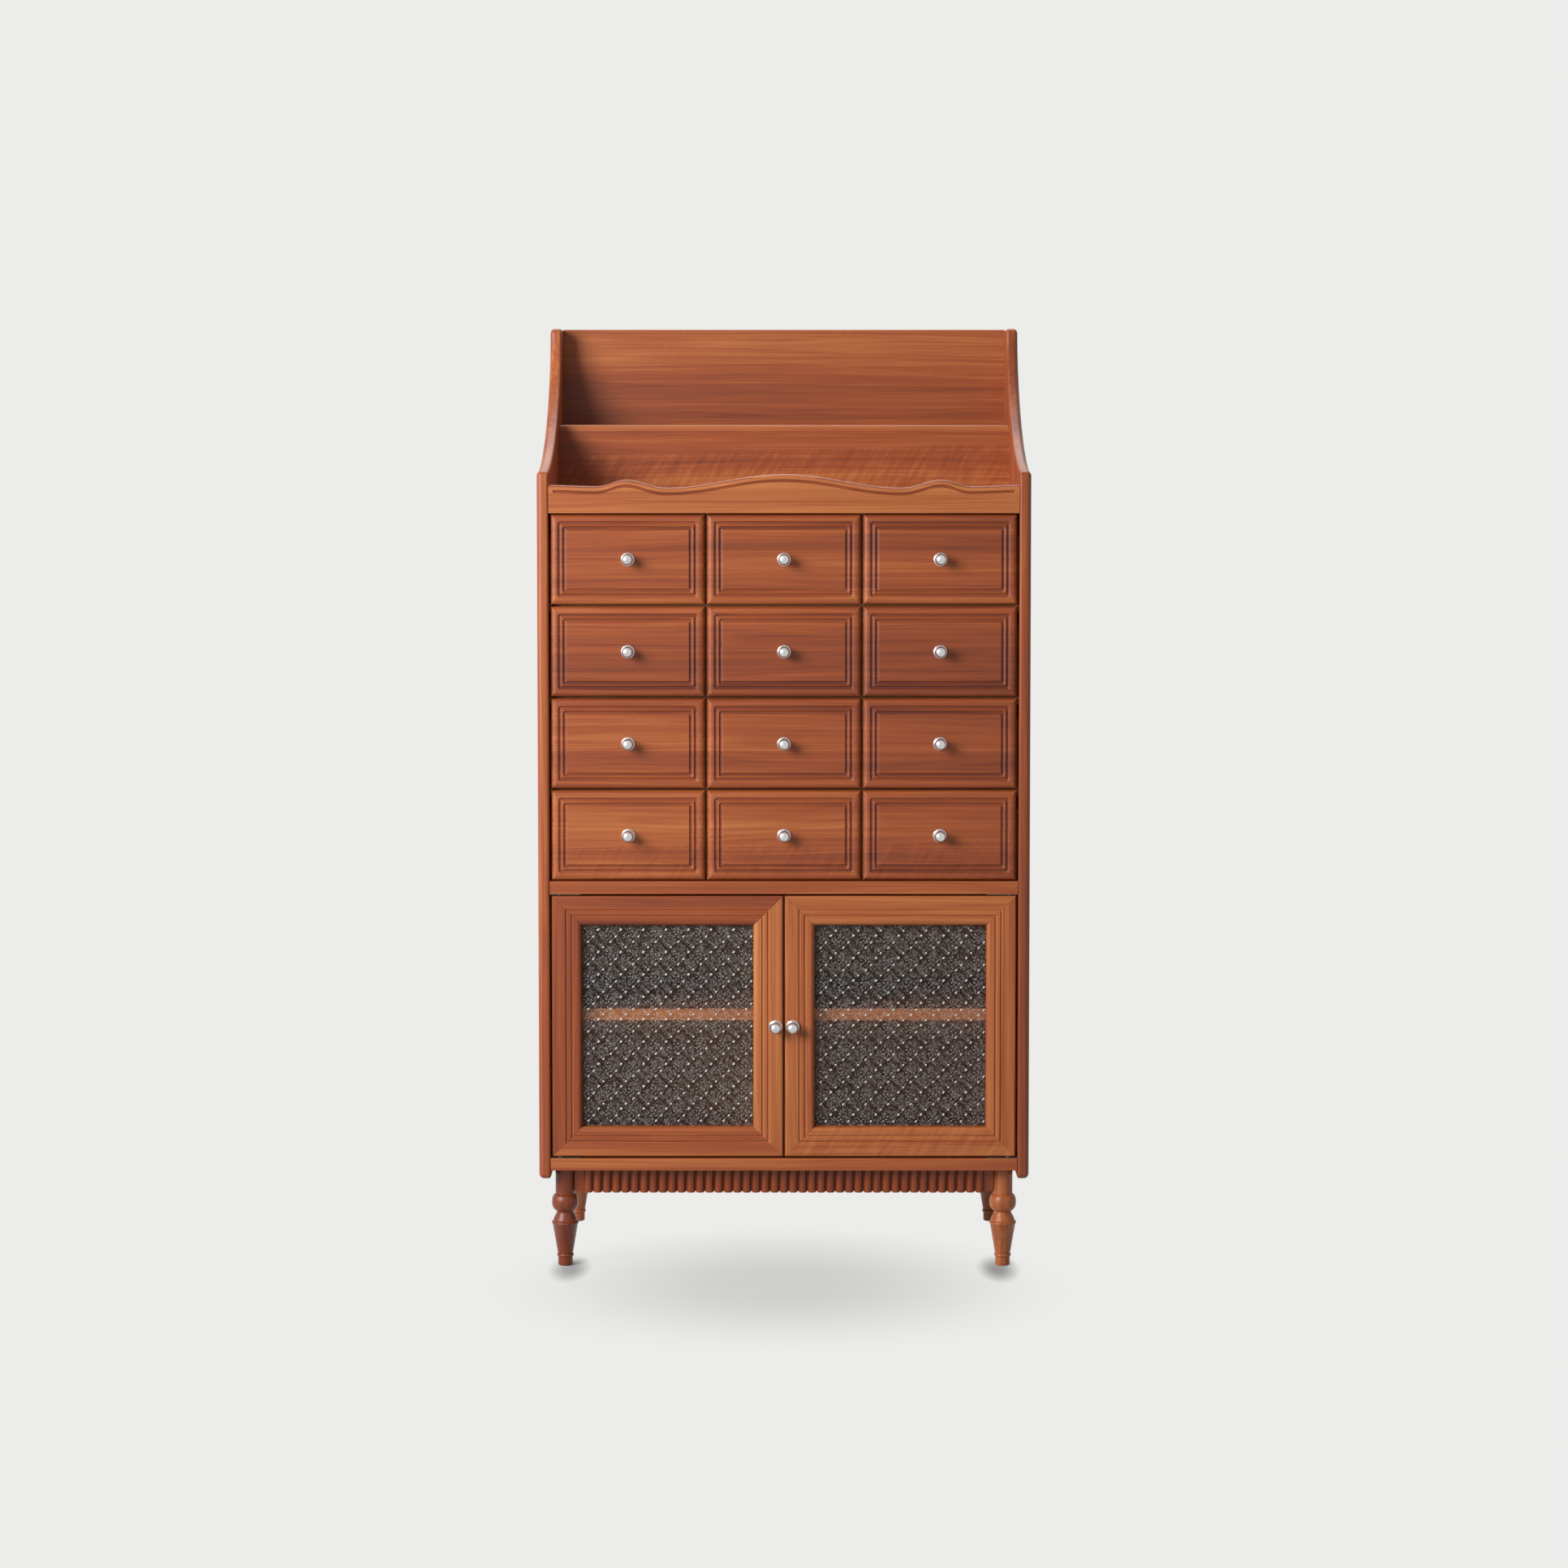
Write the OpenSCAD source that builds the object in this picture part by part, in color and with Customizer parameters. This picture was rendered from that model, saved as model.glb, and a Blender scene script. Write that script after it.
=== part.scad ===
// Tall dresser: open hutch top, twelve small drawers, two glazed doors and turned legs.
// Frame: Z up, the front faces -Y, the origin is on the floor at the centre of the whole outline.
// Inside the modules y is the setback from the front edges of the side boards.

/* [Case] */
// Width over the two side boards
case_w = 800; // [740:5:900]
// Depth of the side boards
case_d = 400; // [385:5:460]
// Thickness of the side boards
side_t = 19; // [16:1:24]
// How far the side boards hang below the bottom board
side_drop = 14; // [8:1:20]
// Corner radius at the lower ends of the side boards
side_toe_r = 6; // [3:1:8]
// Thickness of the bottom board
bottom_t = 20; // [17:1:26]
// Clear height of the cabinet behind the doors
cabinet_h = 434; // [400:2:480]
// Thickness of the board between the cabinet and the drawers
mid_t = 21; // [16:1:26]
// Thickness of the board that closes the case above the drawers
deck_t = 18; // [12:1:24]
// Thickness of the case back
back_t = 9; // [6:1:12]
// Inset of both backs from the rear edges of the side boards
back_inset = 12; // [6:1:20]
// Setback of the bottom board, middle board and gallery rail
rail_inset = 1; // [0:0.5:2]

/* [Hutch] */
// Height of the side boards above the drawer opening
hutch_h = 313; // [280:1:360]
// Height of the side boards' front shoulder above the drawer opening
shoulder_h = 68; // [60:1:90]
// Depth of the side boards at their tops
hutch_top_d = 75; // [60:1:110]
// Power of the swept curve of the side boards, 2 is an ellipse
sweep_power = 1.7; // [1.5:0.1:2.4]
// Corner radius of the shoulders
shoulder_r = 9; // [4:1:14]
// Corner radius at the top front of the side boards
crown_r = 10; // [4:1:14]
// Thickness of the hutch back
hutch_back_t = 18; // [12:1:22]
// Setback of the divider's front face
divider_setback = 250; // [200:5:280]
// Thickness of the divider
divider_t = 16; // [12:1:20]
// Top of the divider above the drawer opening
divider_h = 147; // [120:1:180]

/* [Gallery rail] */
// Height of the rail's middle crest above the drawer opening
gallery_h = 63; // [55:1:80]
// Thickness of the rail
gallery_t = 19; // [15:1:24]
// Drop of the long hollows below the middle crest
hollow_drop = 21.8; // [10:0.2:26]
// Drop of the small crests below the middle crest
crest_drop = 9; // [4:0.5:14]
// Drop of the outer hollows below the middle crest
dip_drop = 19.5; // [10:0.5:26]
// Drop of the rail's ends below the middle crest
end_drop = 17.5; // [8:0.5:26]
// Distance of the routed line from the rail's top edge
line_drop = 10.5; // [8:0.5:14]
// Width of the routed line
line_w = 4; // [3:0.5:6]
// Depth of the routed line
line_depth = 2; // [1:0.5:3]
// Length left unrouted at each end of the rail
line_end = 7; // [5:1:20]

/* [Drawers] */
// Number of drawers side by side
drawer_cols = 3; // [2:1:3]
// Number of rows of drawers
drawer_rows = 4; // [2:1:4]
// Height from one row of drawers to the next
row_pitch = 149.5; // [144:0.5:170]
// Gap between drawer fronts and at the sides of the case
front_gap = 3; // [2:0.5:4]
// Thickness of the drawer fronts
front_t = 20; // [16:1:22]
// Setback of drawer fronts and doors
front_inset = 2; // [1:0.5:4]
// Rounding of the fronts' outer edges
front_edge_r = 5; // [2:0.5:6]
// Distance of the outer routed line from the edge of a front
outer_line = 14.5; // [12:0.5:18]
// Distance of the inner routed line from the edge of a front
inner_line = 22; // [20:0.5:32]
// Width of the routed lines on the fronts
front_line_w = 4.5; // [3:0.5:5]
// Depth of the routed lines on the fronts
front_line_depth = 2.2; // [1:0.2:3]
// Thickness of the upright boards between the columns of drawers
partition_t = 16; // [12:1:18]
// Thickness of the dust boards that carry the drawers
dust_t = 12; // [9:1:15]
// Depth of a drawer box
box_d = 340; // [250:5:345]
// Height of a drawer box
box_h = 115; // [90:1:120]
// Thickness of the sides, front and back of a drawer box
box_t = 12; // [10:1:15]
// Thickness of a drawer bottom
box_bottom_t = 5; // [4:1:6]
// Depth of the grooves that hold a drawer bottom
box_groove = 5; // [3:1:6]
// Height of a drawer bottom's underside above the box's lower edges
box_bottom_lift = 8; // [6:1:12]

/* [Doors] */
// Thickness of the doors
door_t = 22; // [20:1:24]
// Gap round the doors and between them
door_gap = 3; // [2.5:0.5:4]
// Width of a door's stiles and rails
member_w = 48.5; // [46:0.5:60]
// Rounding of the doors' outer edges
door_edge_r = 3.5; // [2:0.5:4]
// Distance of the outer routed line from the door's edge
door_outer_line = 24; // [22:0.5:26]
// Distance of the inner routed line from the door's edge
door_inner_line = 33; // [31:0.5:35]
// Width of the routed lines on the doors
door_line_w = 4; // [3:0.5:4]
// Depth of the routed lines on the doors
door_line_depth = 2; // [1:0.2:3]
// Depth of the sloped moulding at the glass
moulding_drop = 8; // [5:0.5:9]
// Depth from the door's face to the glass
glass_setback = 11; // [10:0.5:13]
// Thickness of the glass
glass_t = 4; // [3:0.5:5]
// Width of the rebate that holds the glass
rebate_w = 8; // [6:0.5:9]
// Thickness of the board between the two halves of the cabinet
cabinet_partition_t = 19; // [16:1:22]

/* [Shelves] */
// Height of the shelves' underside above the bottom board
shelf_lift = 223; // [120:1:300]
// Thickness of the shelves
shelf_t = 19; // [15:1:22]
// Setback of the shelves' front edges
shelf_setback = 30; // [28:1:80]
// Radius of the shelf pins
shelf_pin_r = 2.5; // [2:0.5:3]
// Length of shelf pin inside its hole and outside it
shelf_pin_reach = 8; // [6:0.5:8]
// Distance of the shelf pins from the shelf's front and back edges
shelf_pin_inset = 40; // [20:5:80]

/* [Legs and apron] */
// Height from the floor to the bottom board
leg_h = 164; // [150:1:200]
// Radius of the leg's plain upper part
leg_r = 16; // [13:0.5:18]
// Radius of the leg's ball
leg_ball_r = 22; // [19:0.5:24]
// Height of the ball's widest line above the floor
leg_ball_z = 104.5; // [102:0.5:108]
// Half the height of the ball
leg_ball_half = 13.5; // [12:0.5:15]
// Radius of the neck under the ball
leg_neck_r = 14; // [11:0.5:16]
// Height of the collar above the floor
leg_collar_z = 71; // [66:0.5:74]
// Radius of the collar
leg_collar_r = 22.2; // [19:0.2:24]
// Half the thickness of the collar
leg_collar_half = 2.5; // [2:0.5:3]
// Radius at the ankle, above the foot
leg_ankle_r = 12.6; // [10:0.2:14]
// Height of the foot
foot_h = 14; // [12:1:20]
// Radius of the foot at the floor
foot_r = 12; // [10:0.5:14]
// Height of the ring on the foot
foot_ring_h = 6; // [4:1:8]
// Radius of the ring on the foot
foot_ring_r = 13.8; // [12:0.2:16]
// Radius of the tenon on the leg's top
tenon_r = 12; // [8:0.5:12]
// Length of the tenon
tenon_len = 15; // [10:1:16]
// Distance from a leg's axis to the front or back edge of the side boards
leg_setback = 40; // [34:1:60]
// Gap between a leg and the side board
leg_side_gap = 5; // [3:1:10]
// Height of the apron
apron_h = 42; // [30:1:44]
// Thickness of the apron's board
apron_t = 14; // [10:1:18]
// Setback of the apron's board
apron_setback = 33; // [24:1:40]
// Distance from reed to reed
reed_pitch = 15.3; // [12:0.1:18]
// Radius of the reeds
reed_r = 6.9; // [5:0.1:7.5]
// Shortest plain length at each end of the apron
reed_margin = 12; // [8:1:20]

/* [Hardware] */
// How far a knob stands out from the face
knob_out = 26; // [20:0.5:32]
// Radius of a knob's ball
knob_ball_r = 9.25; // [7:0.25:11]
// Radius of a knob's rosette
knob_base_r = 11; // [9:0.5:12]
// Thickness of a knob's rosette
knob_base_h = 3; // [2:0.5:4]
// Radius of a knob's neck
knob_neck_r = 5; // [3.5:0.5:6]
// Distance of the door knobs from the doors' meeting edges
knob_edge = 12.5; // [12:0.5:20]
// Radius of the knob screws
screw_r = 2; // [1.5:0.5:2.5]
// Radius of the knob screws' heads
screw_head_r = 4; // [3.5:0.5:4.5]
// Thickness of the knob screws' heads
screw_head_h = 2.4; // [1.6:0.2:2.8]
// Radius of the door pivots
pivot_r = 2.5; // [2:0.5:3]
// How far the pivots reach into the doors
pivot_reach = 8; // [6:0.5:8]
// Distance of the pivots from the doors' outer edges
pivot_edge = 12; // [12:0.5:14]
// Distance of the pivots behind the doors' faces
pivot_setback = 8; // [7:0.5:8.5]
// Length of a pivot plate
plate_l = 50; // [35:1:60]
// Width of a pivot plate
plate_w = 13; // [11:1:16]
// Thickness of a pivot plate
plate_t = 1.2; // [0.8:0.1:1.6]
// Radius of the collar that carries a door
pivot_collar_r = 4.5; // [4:0.5:6]
// Length of a door catch
catch_l = 42; // [30:1:60]
// Depth of a door catch
catch_d = 14; // [10:1:20]
// Height of a door catch
catch_h = 12; // [8:1:15]
// Gap between a door catch and the middle upright board
catch_gap = 10; // [5:1:20]

/* [Fits] */
// Gap behind a closed drawer front or door
stop_gap = 0.3; // [0.2:0.1:0.5]
// Running gap under a drawer box
slide_gap = 0.3; // [0.2:0.1:0.5]
// Side clearance of a drawer box, each side
box_side_gap = 1; // [0.5:0.1:1.5]
// Radial clearance of a pivot in its bore
pivot_gap = 0.05; // [0.02:0.01:0.08]
// Extra depth of a pivot bore
pivot_bore_extra = 0.8; // [0.5:0.1:1]
// Gap between a door and the collar that carries it
collar_gap = 0.3; // [0.2:0.1:0.5]
// Radial clearance of the knob screws
screw_gap = 0.25; // [0.1:0.05:0.4]
// Radial clearance of tenons and shelf pins in their holes
peg_gap = 0.05; // [0.02:0.01:0.1]
// Extra depth of the holes for tenons and shelf pins
peg_hole_extra = 0.5; // [0.2:0.1:1]
// Gap in the glued joints of drawer boxes and door frames
joint_gap = 0.1; // [0.05:0.01:0.2]
// Gap round the glass in its rebate
glass_gap = 0.5; // [0.2:0.1:1]
// Gap at the ends of a shelf
shelf_gap = 0.5; // [0.3:0.1:1.5]

/* [Hidden] */
drawer_count = drawer_cols * drawer_rows;
$fn = 48;

wood = [0.64, 0.35, 0.22];
light_wood = [0.72, 0.45, 0.29];
inner_wood = [0.70, 0.52, 0.38];
chrome = [0.82, 0.83, 0.85];
steel = [0.62, 0.63, 0.65];
clear = [0.35, 0.32, 0.30, 0.6];

// Length that a cutting tool runs past a face
past = 1;
// Steps in each curved stretch of an outline
sweep_steps = 20;
wave_steps = 8;
turn_steps = 8;

// Heights of the boards
bottom_z = leg_h;
cabinet_z = bottom_z + bottom_t;
middle_z = cabinet_z + cabinet_h;
drawers_z = middle_z + mid_t;
deck_z = drawers_z + drawer_rows * row_pitch;
pocket_z = deck_z + deck_t;
top_z = deck_z + hutch_h;

// Places across and behind the front
inner_w = case_w - 2 * side_t;
front_y = -(case_d + front_inset - knob_out) / 2;
rear_face = case_d - back_inset;
inner_d = rear_face - back_t;
front_back = front_inset + front_t;
door_back = front_inset + door_t;

col_pitch = (inner_w - front_gap) / drawer_cols;
front_w = col_pitch - front_gap;
front_h = row_pitch - front_gap;
partition_y = front_back + stop_gap;

door_w = (inner_w - 3 * door_gap) / 2;
door_h = cabinet_h - 2 * door_gap;
door_z = cabinet_z + door_gap;
door_knob_z = door_z + door_h / 2;
bead_setback = glass_setback + glass_t;
rebate_x = member_w - rebate_w;

half_cabinet_w = (inner_w - cabinet_partition_t) / 2;
cabinet_partition_y = door_back + stop_gap;
shelf_z = cabinet_z + shelf_lift;
shelf_d = inner_d - shelf_setback - shelf_gap;

leg_x = inner_w / 2 - leg_side_gap - leg_r;
apron_w = 2 * (leg_x - leg_r);
reed_count = floor((apron_w - 2 * reed_margin) / reed_pitch);

// Puts pieces that are drawn with y as the setback into the dresser's frame
module in_case() {
    translate([0, front_y, 0]) children();
}

// A board given by its near low left corner and its far high right corner
module board(low, high) {
    translate(low) cube(high - low);
}

// Extrudes an outline of [setback, height] along X, centred
module extrude_across(length) {
    translate([-length / 2, 0, 0]) rotate([90, 0, 90]) linear_extrude(length) children();
}

// Extrudes an outline of [across, height] back along Y
module extrude_back(depth) {
    translate([0, depth, 0]) rotate([90, 0, 0]) linear_extrude(depth) children();
}

// Points of a quarter turn, from one angle to the next
function arc(centre, r, from, to) =
    [for (i = [0 : turn_steps]) let (a = from + (to - from) * i / turn_steps)
        centre + r * [cos(a), sin(a)]];

// Setback of the swept edge at a share of the way up from shoulder to top
function sweep_setback(t) = (case_d - hutch_top_d) * pow(1 - pow(1 - t, sweep_power), 1 / sweep_power);

// Share of the way up at which the sweep reaches a setback
function sweep_share(s) = 1 - pow(1 - pow(s / (case_d - hutch_top_d), sweep_power), 1 / sweep_power);

shoulder_z = deck_z + shoulder_h;
sweep_rise = top_z - shoulder_z - crown_r;
side_low_z = bottom_z - side_drop;
crown_setback = case_d - hutch_top_d;
sweep_start = sweep_share(shoulder_r);

side_outline = concat(
    arc([side_toe_r, side_low_z + side_toe_r], side_toe_r, 270, 180),
    arc([shoulder_r, shoulder_z + sweep_start * sweep_rise - shoulder_r], shoulder_r, 180, 90),
    [for (i = [1 : sweep_steps - 1])
        let (t = sweep_start + (1 - sweep_start) * pow(i / sweep_steps, 2))
        [sweep_setback(t), shoulder_z + t * sweep_rise]],
    arc([crown_setback + crown_r, top_z - crown_r], crown_r, 180, 90),
    [[case_d, top_z], [case_d, side_low_z]]
);

// Hole for a shelf pin, drawn towards +X
module shelf_pin_holes(x, towards) {
    for (y = shelf_pin_places)
        translate([x - towards * past, y, shelf_z - shelf_pin_r]) rotate([0, 90 * towards, 0])
            cylinder(r = shelf_pin_r + peg_gap, h = shelf_pin_reach + peg_hole_extra + past);
}

shelf_pin_places = [shelf_setback + shelf_pin_inset, inner_d - shelf_gap - shelf_pin_inset];

module side_board(side) {
    difference() {
        translate([side * (inner_w + side_t) / 2, 0, 0]) extrude_across(side_t) polygon(side_outline);
        shelf_pin_holes(side * inner_w / 2, side);
    }
}

module side_left() {
    color(wood) in_case() side_board(-1);
}

module side_right() {
    color(wood) in_case() side_board(1);
}

module bottom_board() {
    color(wood) in_case() difference() {
        board([-inner_w / 2, rail_inset, bottom_z], [inner_w / 2, inner_d, cabinet_z]);
        at_legs() translate([0, 0, leg_h - past])
            cylinder(r = tenon_r + peg_gap, h = tenon_len + peg_hole_extra + past);
    }
}

module middle_board() {
    color(wood) in_case() board([-inner_w / 2, rail_inset, middle_z], [inner_w / 2, inner_d, drawers_z]);
}

module deck() {
    color(wood) in_case()
        board([-inner_w / 2, rail_inset + gallery_t, deck_z], [inner_w / 2, inner_d, pocket_z]);
}

module case_back() {
    color(inner_wood) in_case()
        board([-inner_w / 2, inner_d, bottom_z], [inner_w / 2, rear_face, pocket_z]);
}

module hutch_back() {
    color(wood) in_case()
        board([-inner_w / 2, rear_face - hutch_back_t, pocket_z], [inner_w / 2, rear_face, top_z]);
}

module hutch_divider() {
    color(wood) in_case()
        board([-inner_w / 2, divider_setback, pocket_z],
              [inner_w / 2, divider_setback + divider_t, deck_z + divider_h]);
}

// Knots of the rail's top edge: share of half the length, drop below the crest
wave_knots = [[0, 0], [0.5, hollow_drop], [0.67, crest_drop], [0.795, dip_drop], [1, end_drop]];

// Drop of the rail's top edge between two knots, level at both
function wave_drop(a, b, t) = a + (b - a) * (1 - cos(180 * t)) / 2;

half_wave = concat(
    [[0, wave_knots[0][1]]],
    [for (k = [1 : len(wave_knots) - 1], i = [1 : wave_steps])
        let (a = wave_knots[k - 1], b = wave_knots[k], t = i / wave_steps)
        [(a[0] + (b[0] - a[0]) * t) * inner_w / 2, wave_drop(a[1], b[1], t)]]
);

function reversed(points) = [for (i = [len(points) - 1 : -1 : 0]) points[i]];

gallery_z = deck_z + gallery_h;
wave = concat([for (p = reversed(half_wave)) [-p[0], gallery_z - p[1]]],
              [for (i = [1 : len(half_wave) - 1]) [half_wave[i][0], gallery_z - half_wave[i][1]]]);

line_x = inner_w / 2 - line_end;
line_points = [for (p = wave) [max(-line_x, min(line_x, p[0])), p[1] - line_drop]];

module gallery_rail() {
    color(light_wood) in_case() difference() {
        translate([0, rail_inset, 0]) extrude_back(gallery_t)
            polygon(concat([[inner_w / 2, deck_z], [-inner_w / 2, deck_z]], wave));
        translate([0, rail_inset - past, 0]) extrude_back(line_depth + past)
            polygon(concat([for (p = line_points) p + [0, line_w / 2]],
                           [for (p = reversed(line_points)) p - [0, line_w / 2]]));
    }
}

// Middle of the gap on the left of a column of drawer fronts
function gap_x(col) = -inner_w / 2 + front_gap / 2 + col * col_pitch;

// Walls of the space that a column's drawers run in
function bay_left(col) = col == 0 ? -inner_w / 2 : gap_x(col) + partition_t / 2;
function bay_right(col) = col == drawer_cols - 1 ? inner_w / 2 : gap_x(col + 1) - partition_t / 2;

// Floor of a row of drawers, counted from the top
function row_z(row) = drawers_z + (drawer_rows - 1 - row) * row_pitch;

module drawer_partitions() {
    color(inner_wood) in_case() for (col = [1 : drawer_cols - 1])
        translate([gap_x(col), 0, 0])
            board([-partition_t / 2, partition_y, drawers_z], [partition_t / 2, inner_d, deck_z]);
}

module dust_boards() {
    color(inner_wood) in_case() for (col = [0 : drawer_cols - 1], row = [0 : drawer_rows - 2])
        board([bay_left(col), partition_y, row_z(row) - dust_t], [bay_right(col), inner_d, row_z(row)]);
}

module cabinet_partition() {
    color(wood) in_case() difference() {
        board([-cabinet_partition_t / 2, cabinet_partition_y, cabinet_z],
              [cabinet_partition_t / 2, inner_d, middle_z]);
        for (side = [-1, 1]) shelf_pin_holes(side * cabinet_partition_t / 2, -side);
    }
}

module shelves() {
    color(wood) in_case() for (side = [-1, 1])
        translate([side * (cabinet_partition_t + half_cabinet_w) / 2, 0, 0])
            board([shelf_gap - half_cabinet_w / 2, shelf_setback, shelf_z],
                  [half_cabinet_w / 2 - shelf_gap, shelf_setback + shelf_d, shelf_z + shelf_t]);
}

module shelf_pins() {
    color(steel) in_case() for (side = [-1, 1], y = shelf_pin_places, wall = [0, 1])
        translate([side * (cabinet_partition_t / 2 + wall * half_cabinet_w), y, shelf_z - shelf_pin_r])
            rotate([0, 90, 0]) cylinder(r = shelf_pin_r, h = 2 * shelf_pin_reach, center = true);
}

module at_legs() {
    for (x = [-leg_x, leg_x], y = [leg_setback, case_d - leg_setback]) translate([x, y, 0]) children();
}

// Points of a smooth turned stretch between two [radius, height] points
function turned(a, b) = [for (i = [0 : turn_steps]) let (t = i / turn_steps)
    [a[0] + (b[0] - a[0]) * (1 - cos(180 * t)) / 2, a[1] + (b[1] - a[1]) * t]];

leg_ball_low = leg_ball_z - leg_ball_half;
leg_ball_high = leg_ball_z + leg_ball_half;

// Outline of the ball from its lower edge to its upper edge
function ball_points() = [for (i = [0 : 2 * turn_steps])
    let (a = -90 + 90 * i / turn_steps, edge = a < 0 ? leg_neck_r : leg_r)
    [edge + (leg_ball_r - edge) * cos(a), leg_ball_z + leg_ball_half * sin(a)]];

leg_outline = concat(
    [[0, 0], [foot_r, 0], [foot_r, foot_h], [foot_ring_r, foot_h + foot_ring_h / 4]],
    [[foot_ring_r, foot_h + foot_ring_h * 3 / 4], [leg_ankle_r, foot_h + foot_ring_h]],
    [[leg_collar_r - leg_collar_half / 2, leg_collar_z - leg_collar_half]],
    arc([leg_collar_r - leg_collar_half, leg_collar_z], leg_collar_half, -60, 60),
    turned([leg_collar_r - leg_collar_half, leg_collar_z + leg_collar_half], [leg_neck_r, leg_ball_low - 1]),
    ball_points(),
    [[leg_r, leg_h], [tenon_r, leg_h], [tenon_r, leg_h + tenon_len], [0, leg_h + tenon_len]]
);

module legs() {
    color(wood) in_case() at_legs() rotate_extrude() polygon(leg_outline);
}

module apron() {
    color(wood) in_case() translate([0, apron_setback, bottom_z - apron_h]) linear_extrude(apron_h) union() {
        translate([-apron_w / 2, 0]) square([apron_w, apron_t]);
        for (i = [0 : reed_count - 1]) translate([(i - (reed_count - 1) / 2) * reed_pitch, 0])
            circle(r = reed_r);
    }
}

// Section of a panel whose face at y = 0 has two rounded edges
module rounded_section(w, t, r) {
    union() {
        translate([-w / 2, r]) square([w, t - r]);
        translate([r - w / 2, 0]) square([w - 2 * r, t]);
        for (side = [-1, 1]) translate([side * (w / 2 - r), r]) circle(r = r);
    }
}

// Upright panel with all four edges of its face rounded, centred on x and z
module rounded_panel(w, h, t, r) {
    intersection() {
        translate([0, 0, -h / 2]) linear_extrude(h) rounded_section(w, t, r);
        translate([w / 2, 0, 0]) rotate([0, -90, 0]) linear_extrude(w) rounded_section(h, t, r);
    }
}

// Cutter for one routed line along X, centred on x, sunk from y = 0
module routed_line(length, w, depth) {
    extrude_across(length + w)
        polygon([[-past, -w / 2], [0, -w / 2], [depth, 0], [0, w / 2], [-past, w / 2]]);
}

// Cutter for a rectangle of routed lines
module routed_frame(w, h, line, depth) {
    for (side = [-1, 1]) {
        translate([0, 0, side * h / 2]) routed_line(w, line, depth);
        translate([side * w / 2, 0, 0]) rotate([0, 90, 0]) routed_line(h, line, depth);
    }
}

function front_x(col) = gap_x(col) + front_gap / 2 + front_w / 2;
function front_z(row) = row_z(row) + row_pitch / 2;

module drawer_front(col, row) {
    color(wood) in_case() translate([front_x(col), front_inset, front_z(row)]) difference() {
        rounded_panel(front_w, front_h, front_t, front_edge_r);
        for (line = [outer_line, inner_line])
            routed_frame(front_w - 2 * line, front_h - 2 * line, front_line_w, front_line_depth);
        translate([0, -past, 0]) rotate([-90, 0, 0]) cylinder(r = screw_r + screw_gap, h = front_t + 2 * past);
    }
}

module drawer_box(col, row) {
    left = bay_left(col) + box_side_gap;
    right = bay_right(col) - box_side_gap;
    low = row_z(row) + slide_gap;
    high = low + box_h;
    near = front_back;
    far = near + box_d;
    end_left = left + box_t + joint_gap;
    end_right = right - box_t - joint_gap;
    bottom_low = low + box_bottom_lift;
    bottom_high = bottom_low + box_bottom_t;
    color(inner_wood) in_case() {
        difference() {
            union() {
                board([left, near, low], [left + box_t, far, high]);
                board([right - box_t, near, low], [right, far, high]);
            }
            drawer_bottom([left, near, bottom_low], [right, far, bottom_high], joint_gap);
        }
        difference() {
            board([end_left, near, low], [end_right, near + box_t, high]);
            drawer_bottom([left, near, bottom_low], [right, far, bottom_high], joint_gap);
            translate([front_x(col), near - past, front_z(row)]) rotate([-90, 0, 0])
                cylinder(r = screw_r + screw_gap, h = box_t + 2 * past);
        }
        difference() {
            board([end_left, far - box_t, low], [end_right, far, high]);
            drawer_bottom([left, near, bottom_low], [right, far, bottom_high], joint_gap);
        }
        drawer_bottom([left, near, bottom_low], [right, far, bottom_high], 0);
    }
}

// The bottom of a box with these outer corners, or with a gap the cutter for its grooves
module drawer_bottom(low, high, gap) {
    rim = [box_t - box_groove - gap, box_t - box_groove - gap, -gap];
    board(low + rim, high - rim);
}

// Knob with its screw; the face is at y = 0 and the screw's grip is given
module knob(grip) {
    color(chrome) rotate([90, 0, 0]) {
        translate([0, 0, knob_out - knob_ball_r]) sphere(r = knob_ball_r);
        cylinder(r = knob_base_r, h = knob_base_h);
        cylinder(r = knob_neck_r, h = knob_out - knob_ball_r);
        translate([0, 0, -grip]) cylinder(r = screw_r, h = grip + past);
        translate([0, 0, -grip - screw_head_h]) cylinder(r = screw_head_r, h = screw_head_h);
    }
}

module drawer_knob(col, row) {
    in_case() translate([front_x(col), front_inset, front_z(row)]) knob(front_t + box_t);
}

// Section of a stile or rail as [depth behind the face, distance from the outer edge]
member_outline = concat(
    arc([door_edge_r, door_edge_r], door_edge_r, 270, 180),
    [for (line = [door_outer_line, door_inner_line], p = [[0, -1], [1, 0], [0, 1]])
        [p[0] * door_line_depth, line + p[1] * door_line_w / 2]],
    [for (i = [1 : turn_steps]) let (t = i / turn_steps, from = door_inner_line + door_line_w / 2)
        [moulding_drop * (1 - cos(90 * t)), from + (member_w - from) * t]],
    [[glass_setback, member_w], [glass_setback, rebate_x], [door_t, rebate_x], [door_t, 0]]
);

// Piece of the frame along X with mitred ends and its outer edge at z = 0
module mitred(length, width) {
    intersection() {
        translate([length / 2, 0, 0]) extrude_across(length) children();
        extrude_back(door_t)
            polygon([[joint_gap, 0], [length - joint_gap, 0],
                     [length - width - joint_gap, width], [width + joint_gap, width]]);
    }
}

// Repeats a mitred piece at the bottom and top, or at both sides, of the frame
module frame_pair(upright) {
    size = upright ? door_w : door_h;
    axis = upright ? [1, 0, 0] : [0, 0, 1];
    for (far = [0, 1]) translate(far * size * axis) mirror(far * axis)
        if (upright) mirror([1, 0, -1]) children();
        else children();
}

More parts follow.
